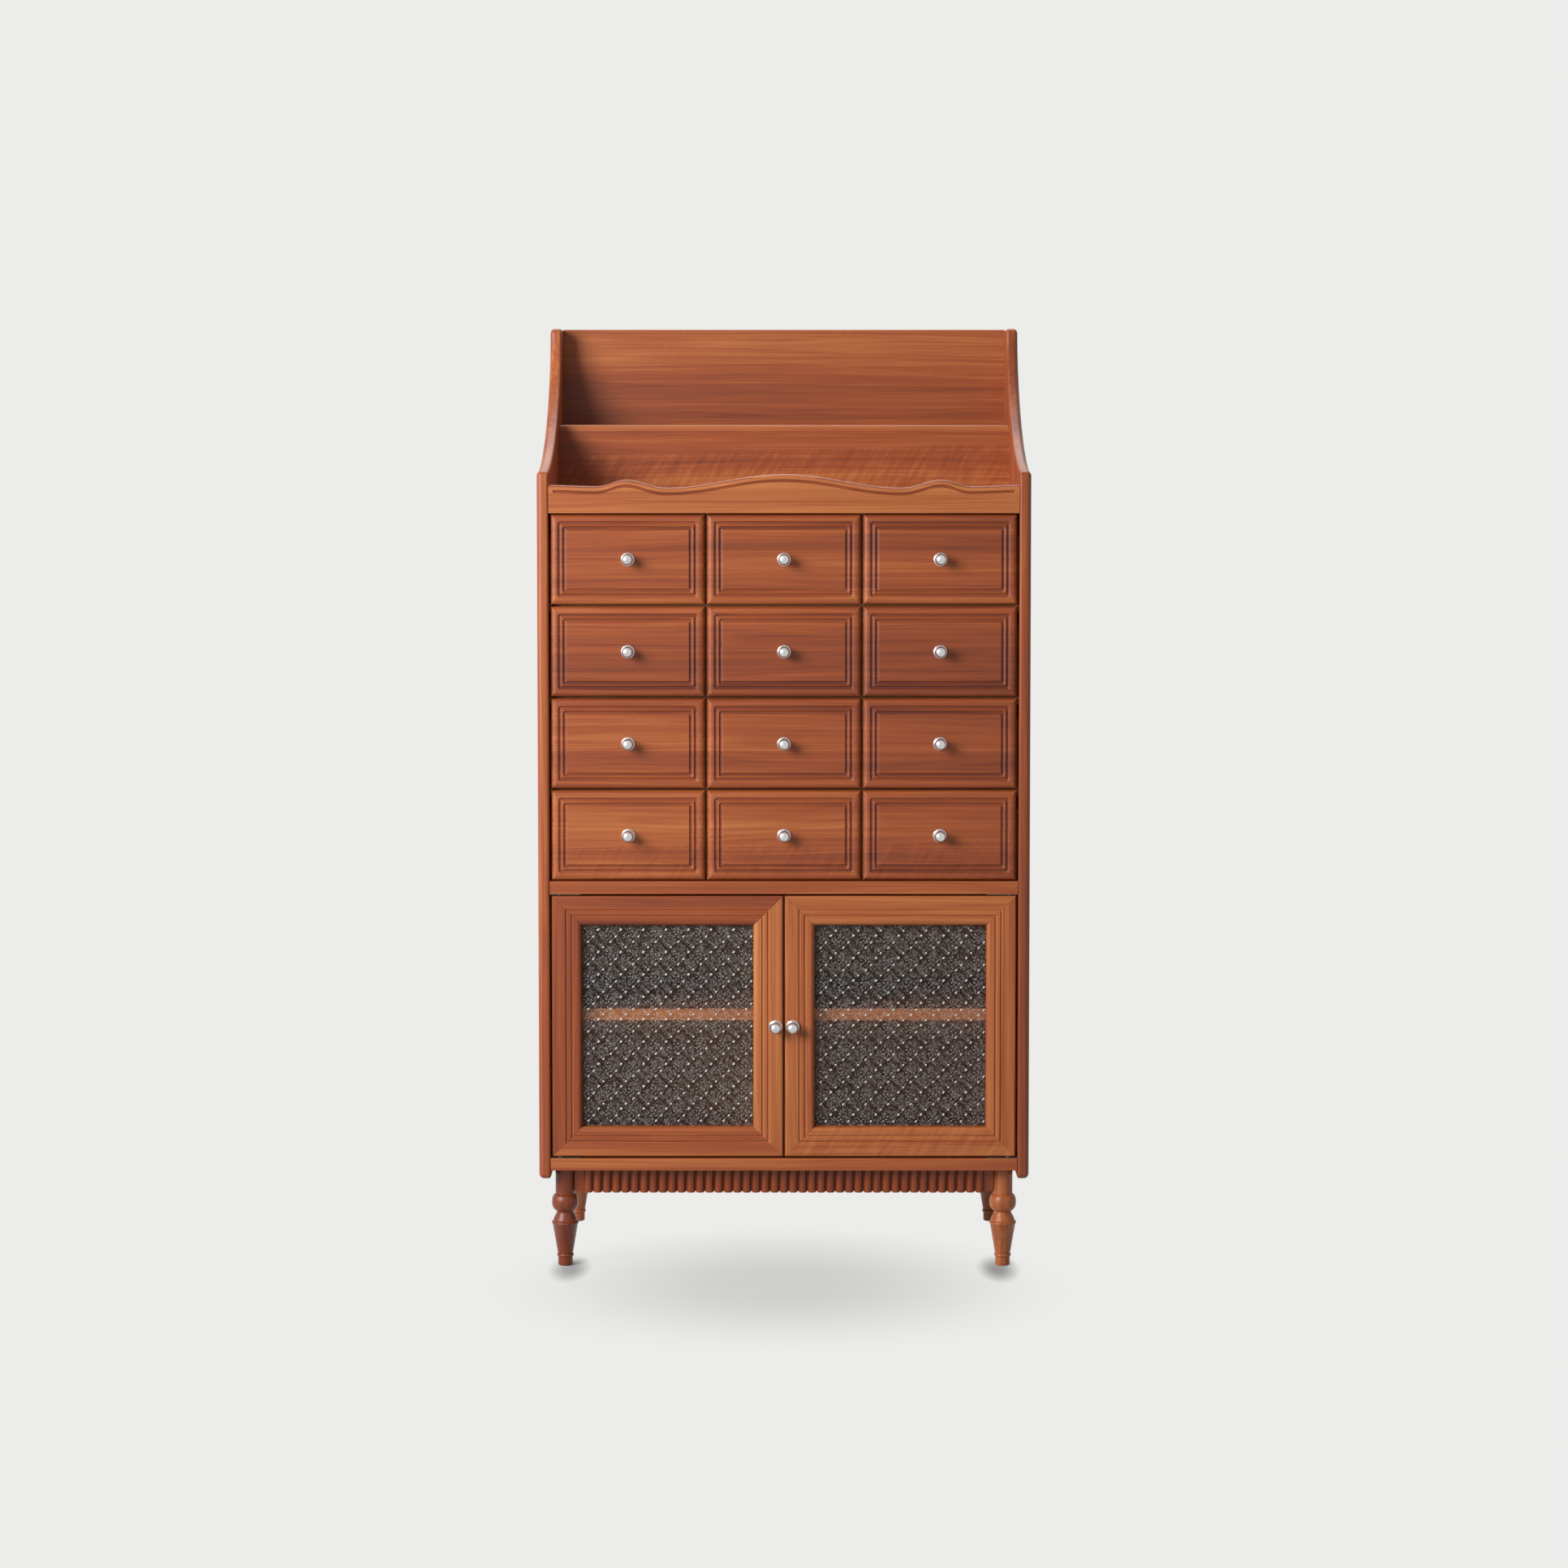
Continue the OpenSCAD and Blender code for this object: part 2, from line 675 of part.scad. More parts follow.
// Frame of the left door, with its lower left corner at the origin
module door_frame() {
    difference() {
        frame_pair(false) mitred(door_w, member_w) polygon(member_outline);
        for (z = [-past, door_h - pivot_reach - pivot_bore_extra])
            translate([pivot_edge, pivot_setback, z])
                cylinder(r = pivot_r + pivot_gap, h = pivot_reach + pivot_bore_extra + past);
    }
    difference() {
        frame_pair(true) mitred(door_h, member_w) polygon(member_outline);
        translate([door_w - knob_edge, -past, door_h / 2]) rotate([-90, 0, 0])
            cylinder(r = screw_r + screw_gap, h = door_t + 2 * past);
        translate([door_w - knob_edge, door_t - screw_head_h, door_h / 2]) rotate([-90, 0, 0])
            cylinder(r = screw_head_r + screw_gap, h = screw_head_h + past);
    }
    for (upright = [false, true]) frame_pair(upright)
        mitred(upright ? door_h : door_w, member_w)
            translate([bead_setback, rebate_x + joint_gap])
                square([door_t - bead_setback, rebate_w - joint_gap]);
}

module door_glass() {
    edge = rebate_x + glass_gap;
    board([edge, glass_setback, edge], [door_w - edge, bead_setback, door_h - edge]);
}

// Puts the left door's piece in place, or its mirror image for the right door
module in_doorway(side) {
    in_case() mirror([side > 0 ? 1 : 0, 0, 0])
        translate([door_gap - inner_w / 2, front_inset, door_z]) children();
}

module door_left_frame() {
    color(wood) in_doorway(-1) door_frame();
}

module door_right_frame() {
    color(wood) in_doorway(1) door_frame();
}

module door_left_glass() {
    color(clear) in_doorway(-1) door_glass();
}

module door_right_glass() {
    color(clear) in_doorway(1) door_glass();
}

module door_knob() {
    translate([door_w - knob_edge, 0, door_h / 2]) knob(door_t - screw_head_h);
}

module door_left_knob() {
    in_doorway(-1) door_knob();
}

module door_right_knob() {
    in_doorway(1) door_knob();
}

// Plate, pivot and, under the door, the collar that carries it
module pivot_plate(collar) {
    translate([-door_gap - pivot_edge, -plate_w / 2, 0]) cube([plate_l, plate_w, plate_t]);
    cylinder(r = pivot_r, h = door_gap + pivot_reach);
    if (collar) cylinder(r = pivot_collar_r, h = door_gap - collar_gap);
}

module pivot_plates() {
    color(steel) in_case() for (side = [-1, 1]) mirror([side > 0 ? 1 : 0, 0, 0])
        translate([door_gap + pivot_edge - inner_w / 2, front_inset + pivot_setback, 0]) {
            translate([0, 0, cabinet_z]) pivot_plate(true);
            translate([0, 0, middle_z]) mirror([0, 0, 1]) pivot_plate(false);
        }
}

module door_catches() {
    color(steel) in_case() for (side = [-1, 1])
        translate([side * (cabinet_partition_t / 2 + catch_gap + catch_l / 2), 0, 0])
            board([-catch_l / 2, cabinet_partition_y, middle_z - catch_h],
                  [catch_l / 2, cabinet_partition_y + catch_d, middle_z]);
}

side_left();
side_right();
bottom_board();
middle_board();
deck();
case_back();
hutch_back();
hutch_divider();
gallery_rail();
drawer_partitions();
dust_boards();
cabinet_partition();
shelves();
shelf_pins();
apron();
legs();
pivot_plates();
door_catches();
door_left_frame();
door_left_glass();
door_left_knob();
door_right_frame();
door_right_glass();
door_right_knob();
for (row = [0 : drawer_rows - 1], col = [0 : drawer_cols - 1]) {
    name = str("drawer_", row * drawer_cols + col + 1);
    drawer_front(col, row);
    drawer_box(col, row);
    drawer_knob(col, row);
}
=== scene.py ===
"""Looks of a tall dresser: cherry boards, routed drawer fronts, glazed doors and turned legs."""

import math
from functools import partial

import bmesh
import bpy
from mathutils import Matrix, Vector


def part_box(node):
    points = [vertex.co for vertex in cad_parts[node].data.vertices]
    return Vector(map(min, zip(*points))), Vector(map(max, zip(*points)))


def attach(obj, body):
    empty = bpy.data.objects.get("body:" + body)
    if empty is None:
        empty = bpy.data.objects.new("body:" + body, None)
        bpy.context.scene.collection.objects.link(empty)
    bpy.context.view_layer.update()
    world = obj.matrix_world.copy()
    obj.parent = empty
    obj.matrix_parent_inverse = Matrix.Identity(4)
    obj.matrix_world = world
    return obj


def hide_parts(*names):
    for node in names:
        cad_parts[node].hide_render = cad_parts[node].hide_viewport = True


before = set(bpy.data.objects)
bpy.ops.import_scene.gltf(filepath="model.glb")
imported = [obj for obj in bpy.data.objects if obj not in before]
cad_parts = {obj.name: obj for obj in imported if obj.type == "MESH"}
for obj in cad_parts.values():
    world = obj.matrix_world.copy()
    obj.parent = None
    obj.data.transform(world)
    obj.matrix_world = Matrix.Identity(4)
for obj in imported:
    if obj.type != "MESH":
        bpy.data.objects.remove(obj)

bl_info = {
    "name": "Tall Dresser",
    "version": (1, 0, 0),
    "blender": (4, 5, 0),
    "location": "3D View > Sidebar > Dresser",
    "description": "Dresses the packed model of a tall dresser in cherry, pressed glass and chrome",
    "category": "Object",
}

MM = 0.001
DRAWERS = 12
COLUMNS = 3
SIDES = {"left": -1, "right": 1}
# Darker tone in a routed line: partly stain that settles there, partly painted shade of the hollow
STAIN_AND_PAINTED_SHADE = -0.4


def linear(code):
    """Linear colour of an sRGB hex value."""
    shares = [int(code[i:i + 2], 16) / 255 for i in (1, 3, 5)]
    return [c / 12.92 if c <= 0.04045 else ((c + 0.055) / 1.055) ** 2.4 for c in shares]


def length(name, description, millimetres):
    """A size in metres that a user can change."""
    return bpy.props.FloatProperty(
        name=name, description=description, default=millimetres * MM, min=0.0,
        unit="LENGTH", precision=4)


def colour(name, description, code):
    """A colour that a user can change."""
    return bpy.props.FloatVectorProperty(
        name=name, description=description, default=linear(code), size=3,
        min=0.0, max=1.0, subtype="COLOR")


class DresserSizes(bpy.types.PropertyGroup):
    """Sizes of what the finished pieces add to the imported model."""

    side_round: length("Side outer edge", "Rounding of the side boards' outer edges", 8)
    side_inner_round: length("Side inner edge", "Rounding of the side boards' inner edges", 4)
    board_round: length("Board edge", "Easing of plain board edges", 1.5)
    divider_round: length("Divider top", "Rounding of the divider's top edge", 7)
    shoulder_height: length("Shoulder height", "Height of the side boards' shoulders", 1305)
    hutch_top_depth: length("Hutch top depth", "Depth of the side boards at their tops", 75)
    shoulder_round: length("Shoulder corner", "Corner radius of the shoulders", 9)
    crown_round: length("Crown corner", "Corner radius at the top of the side boards", 10)
    toe_round: length("Toe corner", "Corner radius at the low ends of the side boards", 9)
    rail_line_drop: length("Rail line drop", "Routed line below the rail's top edge", 10.5)
    rail_line_end: length("Rail line end", "Plain length at the ends of the routed line", 7)
    rail_line_width: length("Rail line width", "Width of the rail's routed line", 5)
    rail_round: length("Rail edge", "Rounding of the rail's waved edge", 6)
    front_round: length("Front edge", "Width of the drawer fronts' rounded edges", 9)
    front_outer_line: length("Front outer line", "Outer routed line from the edge", 14.8)
    front_inner_line: length("Front inner line", "Inner routed line from the edge", 22.6)
    front_line_width: length("Front line width", "Width of the lines on the fronts", 7.5)
    front_line_depth: length("Front line depth", "Depth of the lines on the fronts", 2.3)
    front_line_corner: length("Front line corner", "Corner radius along a line's middle", 2.2)
    door_round: length("Door edge", "Rounding of the doors' outer edges", 3.5)
    door_outer_line: length("Door outer line", "Outer routed line from the door's edge", 24)
    door_inner_line: length("Door inner line", "Inner routed line from the door's edge", 33)
    door_line_width: length("Door line width", "Width of the lines on the doors", 5)
    door_line_depth: length("Door line depth", "Depth of the lines on the doors", 1.7)
    door_member: length("Door member", "Width of the doors' stiles and rails", 48.5)
    door_moulding_drop: length("Door moulding", "Depth of the moulding at the glass", 8)
    door_glass_setback: length("Glass setback", "Depth from the door's face to the glass", 11)
    door_glass_thickness: length("Glass thickness", "Thickness of the panes", 4)
    door_rebate: length("Glass rebate", "Width of the rebate that holds the glass", 8)
    mitre_gap: length("Mitre gap", "Open hairline in the doors' mitres, on each side", 0.15)
    glass_cell: length("Glass cell", "Repeat of the pressed pattern", 36.8)
    knob_out: length("Knob reach", "How far a knob stands out", 26)
    knob_ball: length("Knob ball", "Radius of a knob's ball", 9.25)
    knob_rosette: length("Knob rosette", "Radius of a knob's rosette", 11)
    drawer_grip: length("Drawer grip", "Wood between a drawer knob and its screw's head", 32)
    door_grip: length("Door grip", "Wood between a door knob and its screw's head", 19.6)
    leg_collar: length("Leg collar", "Radius of the legs' collars", 22.2)
    leg_ball: length("Leg ball", "Radius of the legs' balls", 22)
    leg_shaft: length("Leg shaft", "Radius of the legs' plain upper parts", 16)
    reed_pitch: length("Reed pitch", "Distance from reed to reed", 15.3)
    reed_radius: length("Reed radius", "Radius of the apron's reeds", 6.9)
    grain_band: length("Grain band", "Width of the broad bands in the wood", 50)
    grain_streak: length("Grain streak", "Width of the streaks in the wood", 8)
    grain_fibre: length("Grain fibre", "Width of the finest lines in the wood", 2.6)


class DresserColours(bpy.types.PropertyGroup):
    """Colours of the finishes."""

    cherry_dark: colour("Cherry, dark", "Dark streaks of the stained cherry", "#5C1F0A")
    cherry_mid: colour("Cherry, middle", "Body of the stained cherry", "#9B4B22")
    cherry_light: colour("Cherry, light", "Light streaks of the stained cherry", "#C87C43")
    turned_mid: colour("Turned cherry", "Body of the turned legs and the reeds", "#883C16")
    inner_dark: colour("Drawer wood, dark", "Dark lines of the plain drawer wood", "#A9794F")
    inner_light: colour("Drawer wood, light", "Body of the plain drawer wood", "#D9B084")
    glass: colour("Glass", "Tint of the pressed glass", "#F2EFEC")
    # Near white: the colour of the beads' painted glint
    glass_bead_painted_glint: colour("Glass beads", "High points of the pressed glass", "#E4E4E2")
    chrome: colour("Chrome", "Chrome of the knobs", "#D9DADC")
    steel: colour("Steel", "Steel of pins and pivot plates", "#6E675F")
    plastic: colour("Catch plastic", "Moulded body of the door catches", "#4A3B33")
    backdrop: colour("Backdrop", "Floor and background", "#ECECEA")
    # Darker than the backdrop: painted shadow where the floor's patches show it
    floor_painted_shadow: colour("Floor shade", "Floor where it takes the shadow", "#BCC1C0")


def add_node(tree, kind, inputs=(), stops=(), **settings):
    """Add a shader node and give its outputs.

    The inputs are values or the outputs that feed them, in the sockets' order or mapped by
    name, and the stops are the places and tints of a colour ramp.
    """
    node = tree.nodes.new("ShaderNode" + kind)
    for name, value in settings.items():
        setattr(node, name, value)
    for socket, value in inputs.items() if isinstance(inputs, dict) else enumerate(inputs):
        if isinstance(value, bpy.types.NodeSocket):
            tree.links.new(value, node.inputs[socket])
        else:
            node.inputs[socket].default_value = value
    for i, (place, tint) in enumerate(stops):
        elements = node.color_ramp.elements
        element = elements[i] if i < 2 else elements.new(place)
        element.position = place
        element.color = (*tint, 1.0)
    return node.outputs


def finish(context, make):
    """The material of a finish, made at its first use: make adds nodes and gives the shader."""
    name = make.__name__
    if name not in bpy.data.materials:
        material = bpy.data.materials.new(name)
        material.use_nodes = True
        material.node_tree.nodes.clear()
        node = partial(add_node, material.node_tree)
        shader = make(node, context.scene.dresser_sizes, context.scene.dresser_colours)
        node("OutputMaterial", [shader])
    return bpy.data.materials[name]


def shade(tint, share):
    """A colour made darker or lighter."""
    return [min(1.0, c * share) for c in tint]


def wood(node, sizes, axis, tones, roughness=0.55, coat=0.75, shares=(1.05, 0.45, 0.55)):
    """Planed and lacquered wood: the grain runs along one axis, in bands, streaks and fibres.

    The lacquer gives the eye a soft satin over a colour that lies deep. Each plank has its own
    piece of the pattern, its own tone and its own share of cross ripple, from the attribute.
    """
    place = node("TexCoord")["Object"]
    plank = node("Attribute", attribute_name="plank")["Vector"]
    seed, lightness, ripple = node("SeparateXYZ", [plank])

    def drawn_out(width, run):
        """The size of a blot that is drawn out along the grain."""
        return [run if way == axis else width for way in range(3)]

    # A slow drift bends the grain by up to 16 mm
    slow = node("Mapping", {"Vector": place, "Scale": drawn_out(0.09, 0.42)},
                vector_type="TEXTURE")[0]
    drift = node("TexNoise", {"Vector": slow, "W": seed, "Scale": 1.0, "Detail": 1.0},
                 noise_dimensions="4D")[1]
    bent = node("VectorMath", [drift, (0.016,) * 3, place], operation="MULTIPLY_ADD")[0]
    layers = []
    for width, run in ((sizes.grain_band, 1.5), (sizes.grain_streak, 0.7),
                       (sizes.grain_fibre, 0.4)):
        spot = node("Mapping", {"Vector": bent, "Scale": drawn_out(width, run)},
                    vector_type="TEXTURE")[0]
        layers.append(node("TexNoise", {"Vector": spot, "W": seed, "Scale": 1.0, "Detail": 2.0,
                                        "Roughness": 0.6}, noise_dimensions="4D")[0])
    bands, streaks, fibres = layers
    # Growth lines are the contours of the broad bands
    rings = node("Math", [bands, 95.0], operation="MULTIPLY")[0]
    lines = node("Math", [rings], operation="SINE")[0]
    # Cross ripple, the figure that shows as slanting waves on some planks
    slant = node("Mapping", {"Vector": place, "Rotation": (0, math.radians(-58), 0),
                             "Scale": (0.045, 0.03, 0.0075)}, vector_type="TEXTURE")[0]
    curl = node("TexNoise", {"Vector": slant, "W": seed, "Scale": 1.0, "Detail": 1.0},
                noise_dimensions="4D")[0]
    level = node("Math", [curl, 0.5], operation="SUBTRACT")[0]
    wave = node("Math", [level, ripple], operation="MULTIPLY")[0]
    tone = node("Math", [lightness, 0.5 - sum(shares) / 2], operation="ADD")[0]
    for layer, share in zip((bands, streaks, fibres, lines, wave), (*shares, 0.04, 0.5)):
        tone = node("Math", [layer, share, tone], operation="MULTIPLY_ADD")[0]
    dark, middle, light = tones
    tint = node("ValToRGB", [tone], stops=[(0.0, dark), (1.0, light), (0.5, middle)])
    gloss = node("Math", [streaks, 0.2, roughness - 0.1], operation="MULTIPLY_ADD")
    bump = node("Bump", {"Strength": 0.12, "Distance": 0.0004, "Height": fibres})
    return node("BsdfPrincipled", {"Base Color": tint[0], "Roughness": gloss[0], "Normal": bump[0],
                                   "IOR": 1.2, "Coat Weight": coat, "Coat Roughness": 0.42,
                                   "Coat IOR": 1.5})[0]


def cherry_level(node, sizes, colours):
    """Cherry boards whose grain runs from side to side."""
    return wood(node, sizes, 0, (colours.cherry_dark, colours.cherry_mid, colours.cherry_light))


def cherry_upright(node, sizes, colours):
    """Cherry boards whose grain runs up and down."""
    return wood(node, sizes, 2, (colours.cherry_dark, colours.cherry_mid, colours.cherry_light),
                shares=(0.7, 0.7, 0.5))


def cherry_turned(node, sizes, colours):
    """Turned and reeded cherry, upright grain, a little darker from the end grain."""
    return wood(node, sizes, 2, (colours.cherry_dark, colours.turned_mid, colours.cherry_mid),
                shares=(0.5, 0.5, 0.3), roughness=0.34)


def plain_wood(node, sizes, colours, axis):
    """Light boards inside the case, sanded and left matt."""
    middle = [(a + 2 * b) / 3 for a, b in zip(colours.inner_dark, colours.inner_light)]
    return wood(node, sizes, axis, (colours.inner_dark, middle, colours.inner_light),
                roughness=0.6, coat=0.0, shares=(0.4, 0.6, 0.3))


def drawer_level(node, sizes, colours):
    """Plain light boards whose grain runs from side to side."""
    return plain_wood(node, sizes, colours, 0)


def drawer_deep(node, sizes, colours):
    """Plain light boards whose grain runs from front to back."""
    return plain_wood(node, sizes, colours, 1)


def cast_glass(node, sizes, colours):
    """Cast glass with a rolled pattern: it shows light and warmth behind it but no outline.

    The attribute holds where one of the pattern's bright pairs lies on the pane. Fine squiggles
    fill the pane, and are fainter in the slanting bands that run through the bright pairs. The
    squiggles are painted pale, a painted highlight of light caught by the rolled face, and the
    glass between them is painted near black, a painted shade of the dark cabinet behind.
    """
    place = node("TexCoord")["Object"]
    start = node("Attribute", attribute_name="plank")["Vector"]
    near = node("VectorMath", [place, start], operation="SUBTRACT")[0]
    period = sizes.glass_cell / math.sqrt(2)
    slant = node("Mapping", {"Vector": near, "Rotation": (0, math.radians(45), 0),
                             "Scale": (period,) * 3}, vector_type="TEXTURE")[0]
    ways = node("SeparateXYZ", [slant])
    falling, rising = [node("Math", [ways[way], 0.5], operation="PINGPONG")[0] for way in (0, 2)]
    close = node("Math", [falling, rising], operation="MINIMUM")[0]
    body = node("MapRange", [close, 0.0, 0.12, 0.8, 1.0])[0]
    # Squiggles slant both ways; they are drawn 1.3 mm wide, a little coarser than the real ones
    across, along = 1.3 * MM / period, 3.4 * MM / period
    slants = []
    for size in ((across, 1, along), (along, 1, across)):
        spot = node("Mapping", {"Vector": slant, "Scale": size}, vector_type="TEXTURE")[0]
        slants.append(node("TexNoise", {"Vector": spot, "Scale": 1.0, "Detail": 0.0})[0])
    mixed = node("Math", slants, operation="MAXIMUM")[0]
    height = node("Math", [mixed, body], operation="MULTIPLY")[0]
    # In the squiggles the glass is painted pale, a painted highlight; between them it is painted
    # near black, a painted shade, so that it looks deep into the cabinet
    tint = node("ValToRGB", [height], stops=[(0.4, shade(colours.glass, 0.02)),
                                             (0.71, colours.glass),
                                             (0.54, shade(colours.glass, 0.05)),
                                             (0.62, shade(colours.glass, 0.3))])
    bump = node("Bump", {"Strength": 0.4, "Distance": 0.0008, "Height": mixed})
    surface = node("BsdfPrincipled", {"Base Color": tint[0], "Roughness": 0.3, "IOR": 1.5,
                                      "Alpha": 0.13, "Normal": bump[0]})
    # The rolled face spreads light from behind, so that it glows softly beside a lit board
    spread = node("BsdfTranslucent", [(*colours.glass, 1)])
    return node("MixShader", [0.12, surface[0], spread[0]])[0]


def glass_beads_painted_glint(node, sizes, colours):
    """High points of the rolled pattern, fire-polished and painted near white: a painted glint of
    the light they would gather.

    The attribute's second part is a bead's painted brightness: the small ones are painted dimmer,
    as if they gathered less.
    """
    place = node("TexCoord")["Object"]
    plank = node("Attribute", attribute_name="plank")["Vector"]
    bright = node("SeparateXYZ", [plank])[1]
    cloud = node("TexNoise", {"Vector": place, "Scale": 90.0, "Detail": 2.0})[0]
    level = node("Math", [cloud, 0.4, bright], operation="MULTIPLY_ADD")[0]
    # Each bead is painted between dim and near white, a painted glint
    tint = node("ValToRGB", [level], stops=[(0.2, shade(colours.glass_bead_painted_glint, 0.1)),
                                            (1.0, colours.glass_bead_painted_glint)])
    return node("BsdfPrincipled", {"Base Color": tint[0], "Roughness": 0.22, "IOR": 1.5,
                                   "Transmission Weight": 0.15})[0]


def metal(node, tint, roughness, spread, grain):
    """Metal whose fine scratches spread its shine a little unevenly."""
    place = node("TexCoord")["Object"]
    wear = node("TexNoise", {"Vector": place, "Scale": 1 / grain, "Detail": 3.0,
                             "Roughness": 0.7})[0]
    gloss = node("Math", [wear, spread, roughness - spread / 2], operation="MULTIPLY_ADD")
    worn = node("ValToRGB", [wear], stops=[(0.25, shade(tint, 0.82)), (0.6, tint)])
    return node("BsdfPrincipled", {"Base Color": worn[0], "Roughness": gloss[0],
                                   "Metallic": 1.0})[0]


def polished_chrome(node, sizes, colours):
    """Chrome plate on turned brass, polished bright."""
    return metal(node, colours.chrome, 0.27, 0.08, 6 * MM)


def rolled_steel(node, sizes, colours):
    """Rolled steel with a zinc coat, dull and even."""
    return metal(node, colours.steel, 0.36, 0.15, 1.5 * MM)


def moulded_plastic(node, sizes, colours):
    """ABS moulded in a spark-eroded tool, which leaves it softly matt."""
    place = node("TexCoord")["Object"]
    grit = node("TexNoise", {"Vector": place, "Scale": 900.0, "Detail": 2.0})[0]
    tint = node("ValToRGB", [grit], stops=[(0.3, colours.plastic),
                                           (0.75, shade(colours.plastic, 1.25))])
    bump = node("Bump", {"Strength": 0.2, "Distance": 0.0002, "Height": grit})
    return node("BsdfPrincipled", {"Base Color": tint[0], "Roughness": 0.5, "IOR": 1.53,
                                   "Normal": bump[0]})[0]


def plain_rays(node):
    """1 for the rays that see the plain background: the camera's, and those in shine and glass."""
    path = node("LightPath")
    shine = node("Math", [path["Is Glossy Ray"], path["Is Transmission Ray"]], operation="MAXIMUM")
    return node("Math", [path["Is Camera Ray"], shine[0]], operation="MAXIMUM")[0]


def floor_with_painted_shadow(node, sizes, colours):
    """Matt paint in the background's colour, so that the floor runs into it without an edge.

    In one wide patch and close round each front foot the floor shows a darker matt colour: a
    painted shadow, which also takes the real shadow.
    """
    place = node("TexCoord")["Object"]
    mirrored = node("VectorMath", [place], operation="ABSOLUTE")[0]
    across = node("SeparateXYZ", [mirrored])[0]
    back = node("SeparateXYZ", [place])[1]
    folded = node("CombineXYZ", [across, back])[0]
    shares = []
    # Two patches of painted shadow: one wide before the case, and one round each front foot
    for spot, middle, size, most in ((place, (-0.01, -0.29, 0), (0.5, 0.43, 1), 0.43),
                                     (folded, (0.35, -0.18, 0), (0.045, 0.12, 1), 0.95)):
        near = node("Mapping", {"Vector": spot, "Location": middle, "Scale": size},
                    vector_type="TEXTURE")[0]
        reach = node("VectorMath", [near], operation="LENGTH")["Value"]
        shares.append(node("MapRange", [reach, 0.1, 1.0, most, 0.0],
                           interpolation_type="SMOOTHSTEP")[0])
    share = node("Math", shares, operation="MAXIMUM")[0]
    bare = node("Math", [1.0, share], operation="SUBTRACT")[0]
    plain = node("Math", [plain_rays(node), bare], operation="MULTIPLY")[0]
    # This darker colour is painted shadow wherever a patch shows it, on top of the real shadow
    matt = node("BsdfDiffuse", [(*colours.floor_painted_shadow, 1)])[0]
    glow = node("Emission", [(*colours.backdrop, 1), 1.0])[0]
    return node("MixShader", [plain, matt, glow])[0]


def new_shape():
    """An empty mesh with the attribute that holds each face's plank."""
    bm = bmesh.new()
    bm.faces.layers.float_vector.new("plank")
    return bm


def set_plank(bm, faces, seed, lightness=0.0, ripple=0.0):
    """Give faces one plank's wood: its piece of the pattern, its tone and its figure."""
    layer = bm.faces.layers.float_vector["plank"]
    for face in faces:
        face[layer] = (seed, lightness, ripple)


def split_planks(bm, seams):
    """Split the faces along glued seams, given as height and slope from low to high.

    It gives each face with its plank, counted from below.
    """
    for height, slope in seams:
        bmesh.ops.bisect_plane(bm, geom=bm.verts[:] + bm.edges[:] + bm.faces[:],
                               plane_co=(0, 0, height), plane_no=(-slope, 0, 1))
    spots = [(face, face.calc_center_median()) for face in bm.faces]
    return [(face, sum(spot.z > height + slope * spot.x for height, slope in seams))
            for face, spot in spots]


def to_mesh(bm, name):
    """A mesh of a finished shape."""
    mesh = bpy.data.meshes.new(name)
    bm.to_mesh(mesh)
    bm.free()
    return mesh


def add_object(context, name, data):
    """A new object in the scene."""
    made = bpy.data.objects.new(name, data)
    context.scene.collection.objects.link(made)
    return made


def finish_piece(context, bm, name, finishes, node, body="root", weighted=True):
    """Close a shape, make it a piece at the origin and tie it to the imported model."""
    bmesh.ops.remove_doubles(bm, verts=bm.verts, dist=0.01 * MM)
    bmesh.ops.recalc_face_normals(bm, faces=bm.faces)
    mesh = to_mesh(bm, name)
    for make in finishes:
        mesh.materials.append(finish(context, make))
    mesh.shade_smooth()
    mesh.set_sharp_from_angle(angle=math.radians(38))
    piece = add_object(context, name, mesh)
    if weighted:
        piece.modifiers.new("even_shading", "WEIGHTED_NORMAL").keep_sharp = True
    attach(piece, body)
    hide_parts(node)


def finish_node(context, node, make):
    """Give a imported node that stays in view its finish."""
    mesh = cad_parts[node].data
    mesh.materials.clear()
    mesh.materials.append(finish(context, make))


def board(bm, low, high):
    """A rectangular board between two corners."""
    low, high = Vector(low), Vector(high)
    place = Matrix.Translation((low + high) / 2) @ Matrix.Diagonal((*(high - low), 1))
    bmesh.ops.create_cube(bm, size=1, matrix=place)


def round_over(bm, test, radius, steps=5):
    """Round edges like a quarter-round bit, those whose two ends pass a test of their place."""
    edges = [e for e in bm.edges if all(test(v.co) for v in e.verts)]
    bmesh.ops.bevel(bm, geom=edges, offset=radius, offset_type="OFFSET", affect="EDGES",
                    segments=steps, profile=0.5, material=-1)


def arc(centre, radius, start, end, steps):
    """Points of an arc in a plane, in degrees; radius is one number or one for each way."""
    rx, ry = radius if isinstance(radius, tuple) else (radius, radius)
    angles = [math.radians(start + (end - start) * i / steps) for i in range(steps + 1)]
    return [(centre[0] + rx * math.cos(a), centre[1] + ry * math.sin(a)) for a in angles]


def loop_of(bm, points):
    """A closed loop of edges through points."""
    verts = [bm.verts.new(p) for p in points]
    return [bm.edges.new(pair) for pair in zip(verts, verts[1:] + verts[:1])]


def skin(bm, loops):
    """Faces from loop to loop, and a face at both ends."""
    for near, far in zip(loops, loops[1:]):
        bmesh.ops.bridge_loops(bm, edges=near + far)
    for end in (loops[0], loops[-1]):
        bmesh.ops.edgeloop_fill(bm, edges=end)


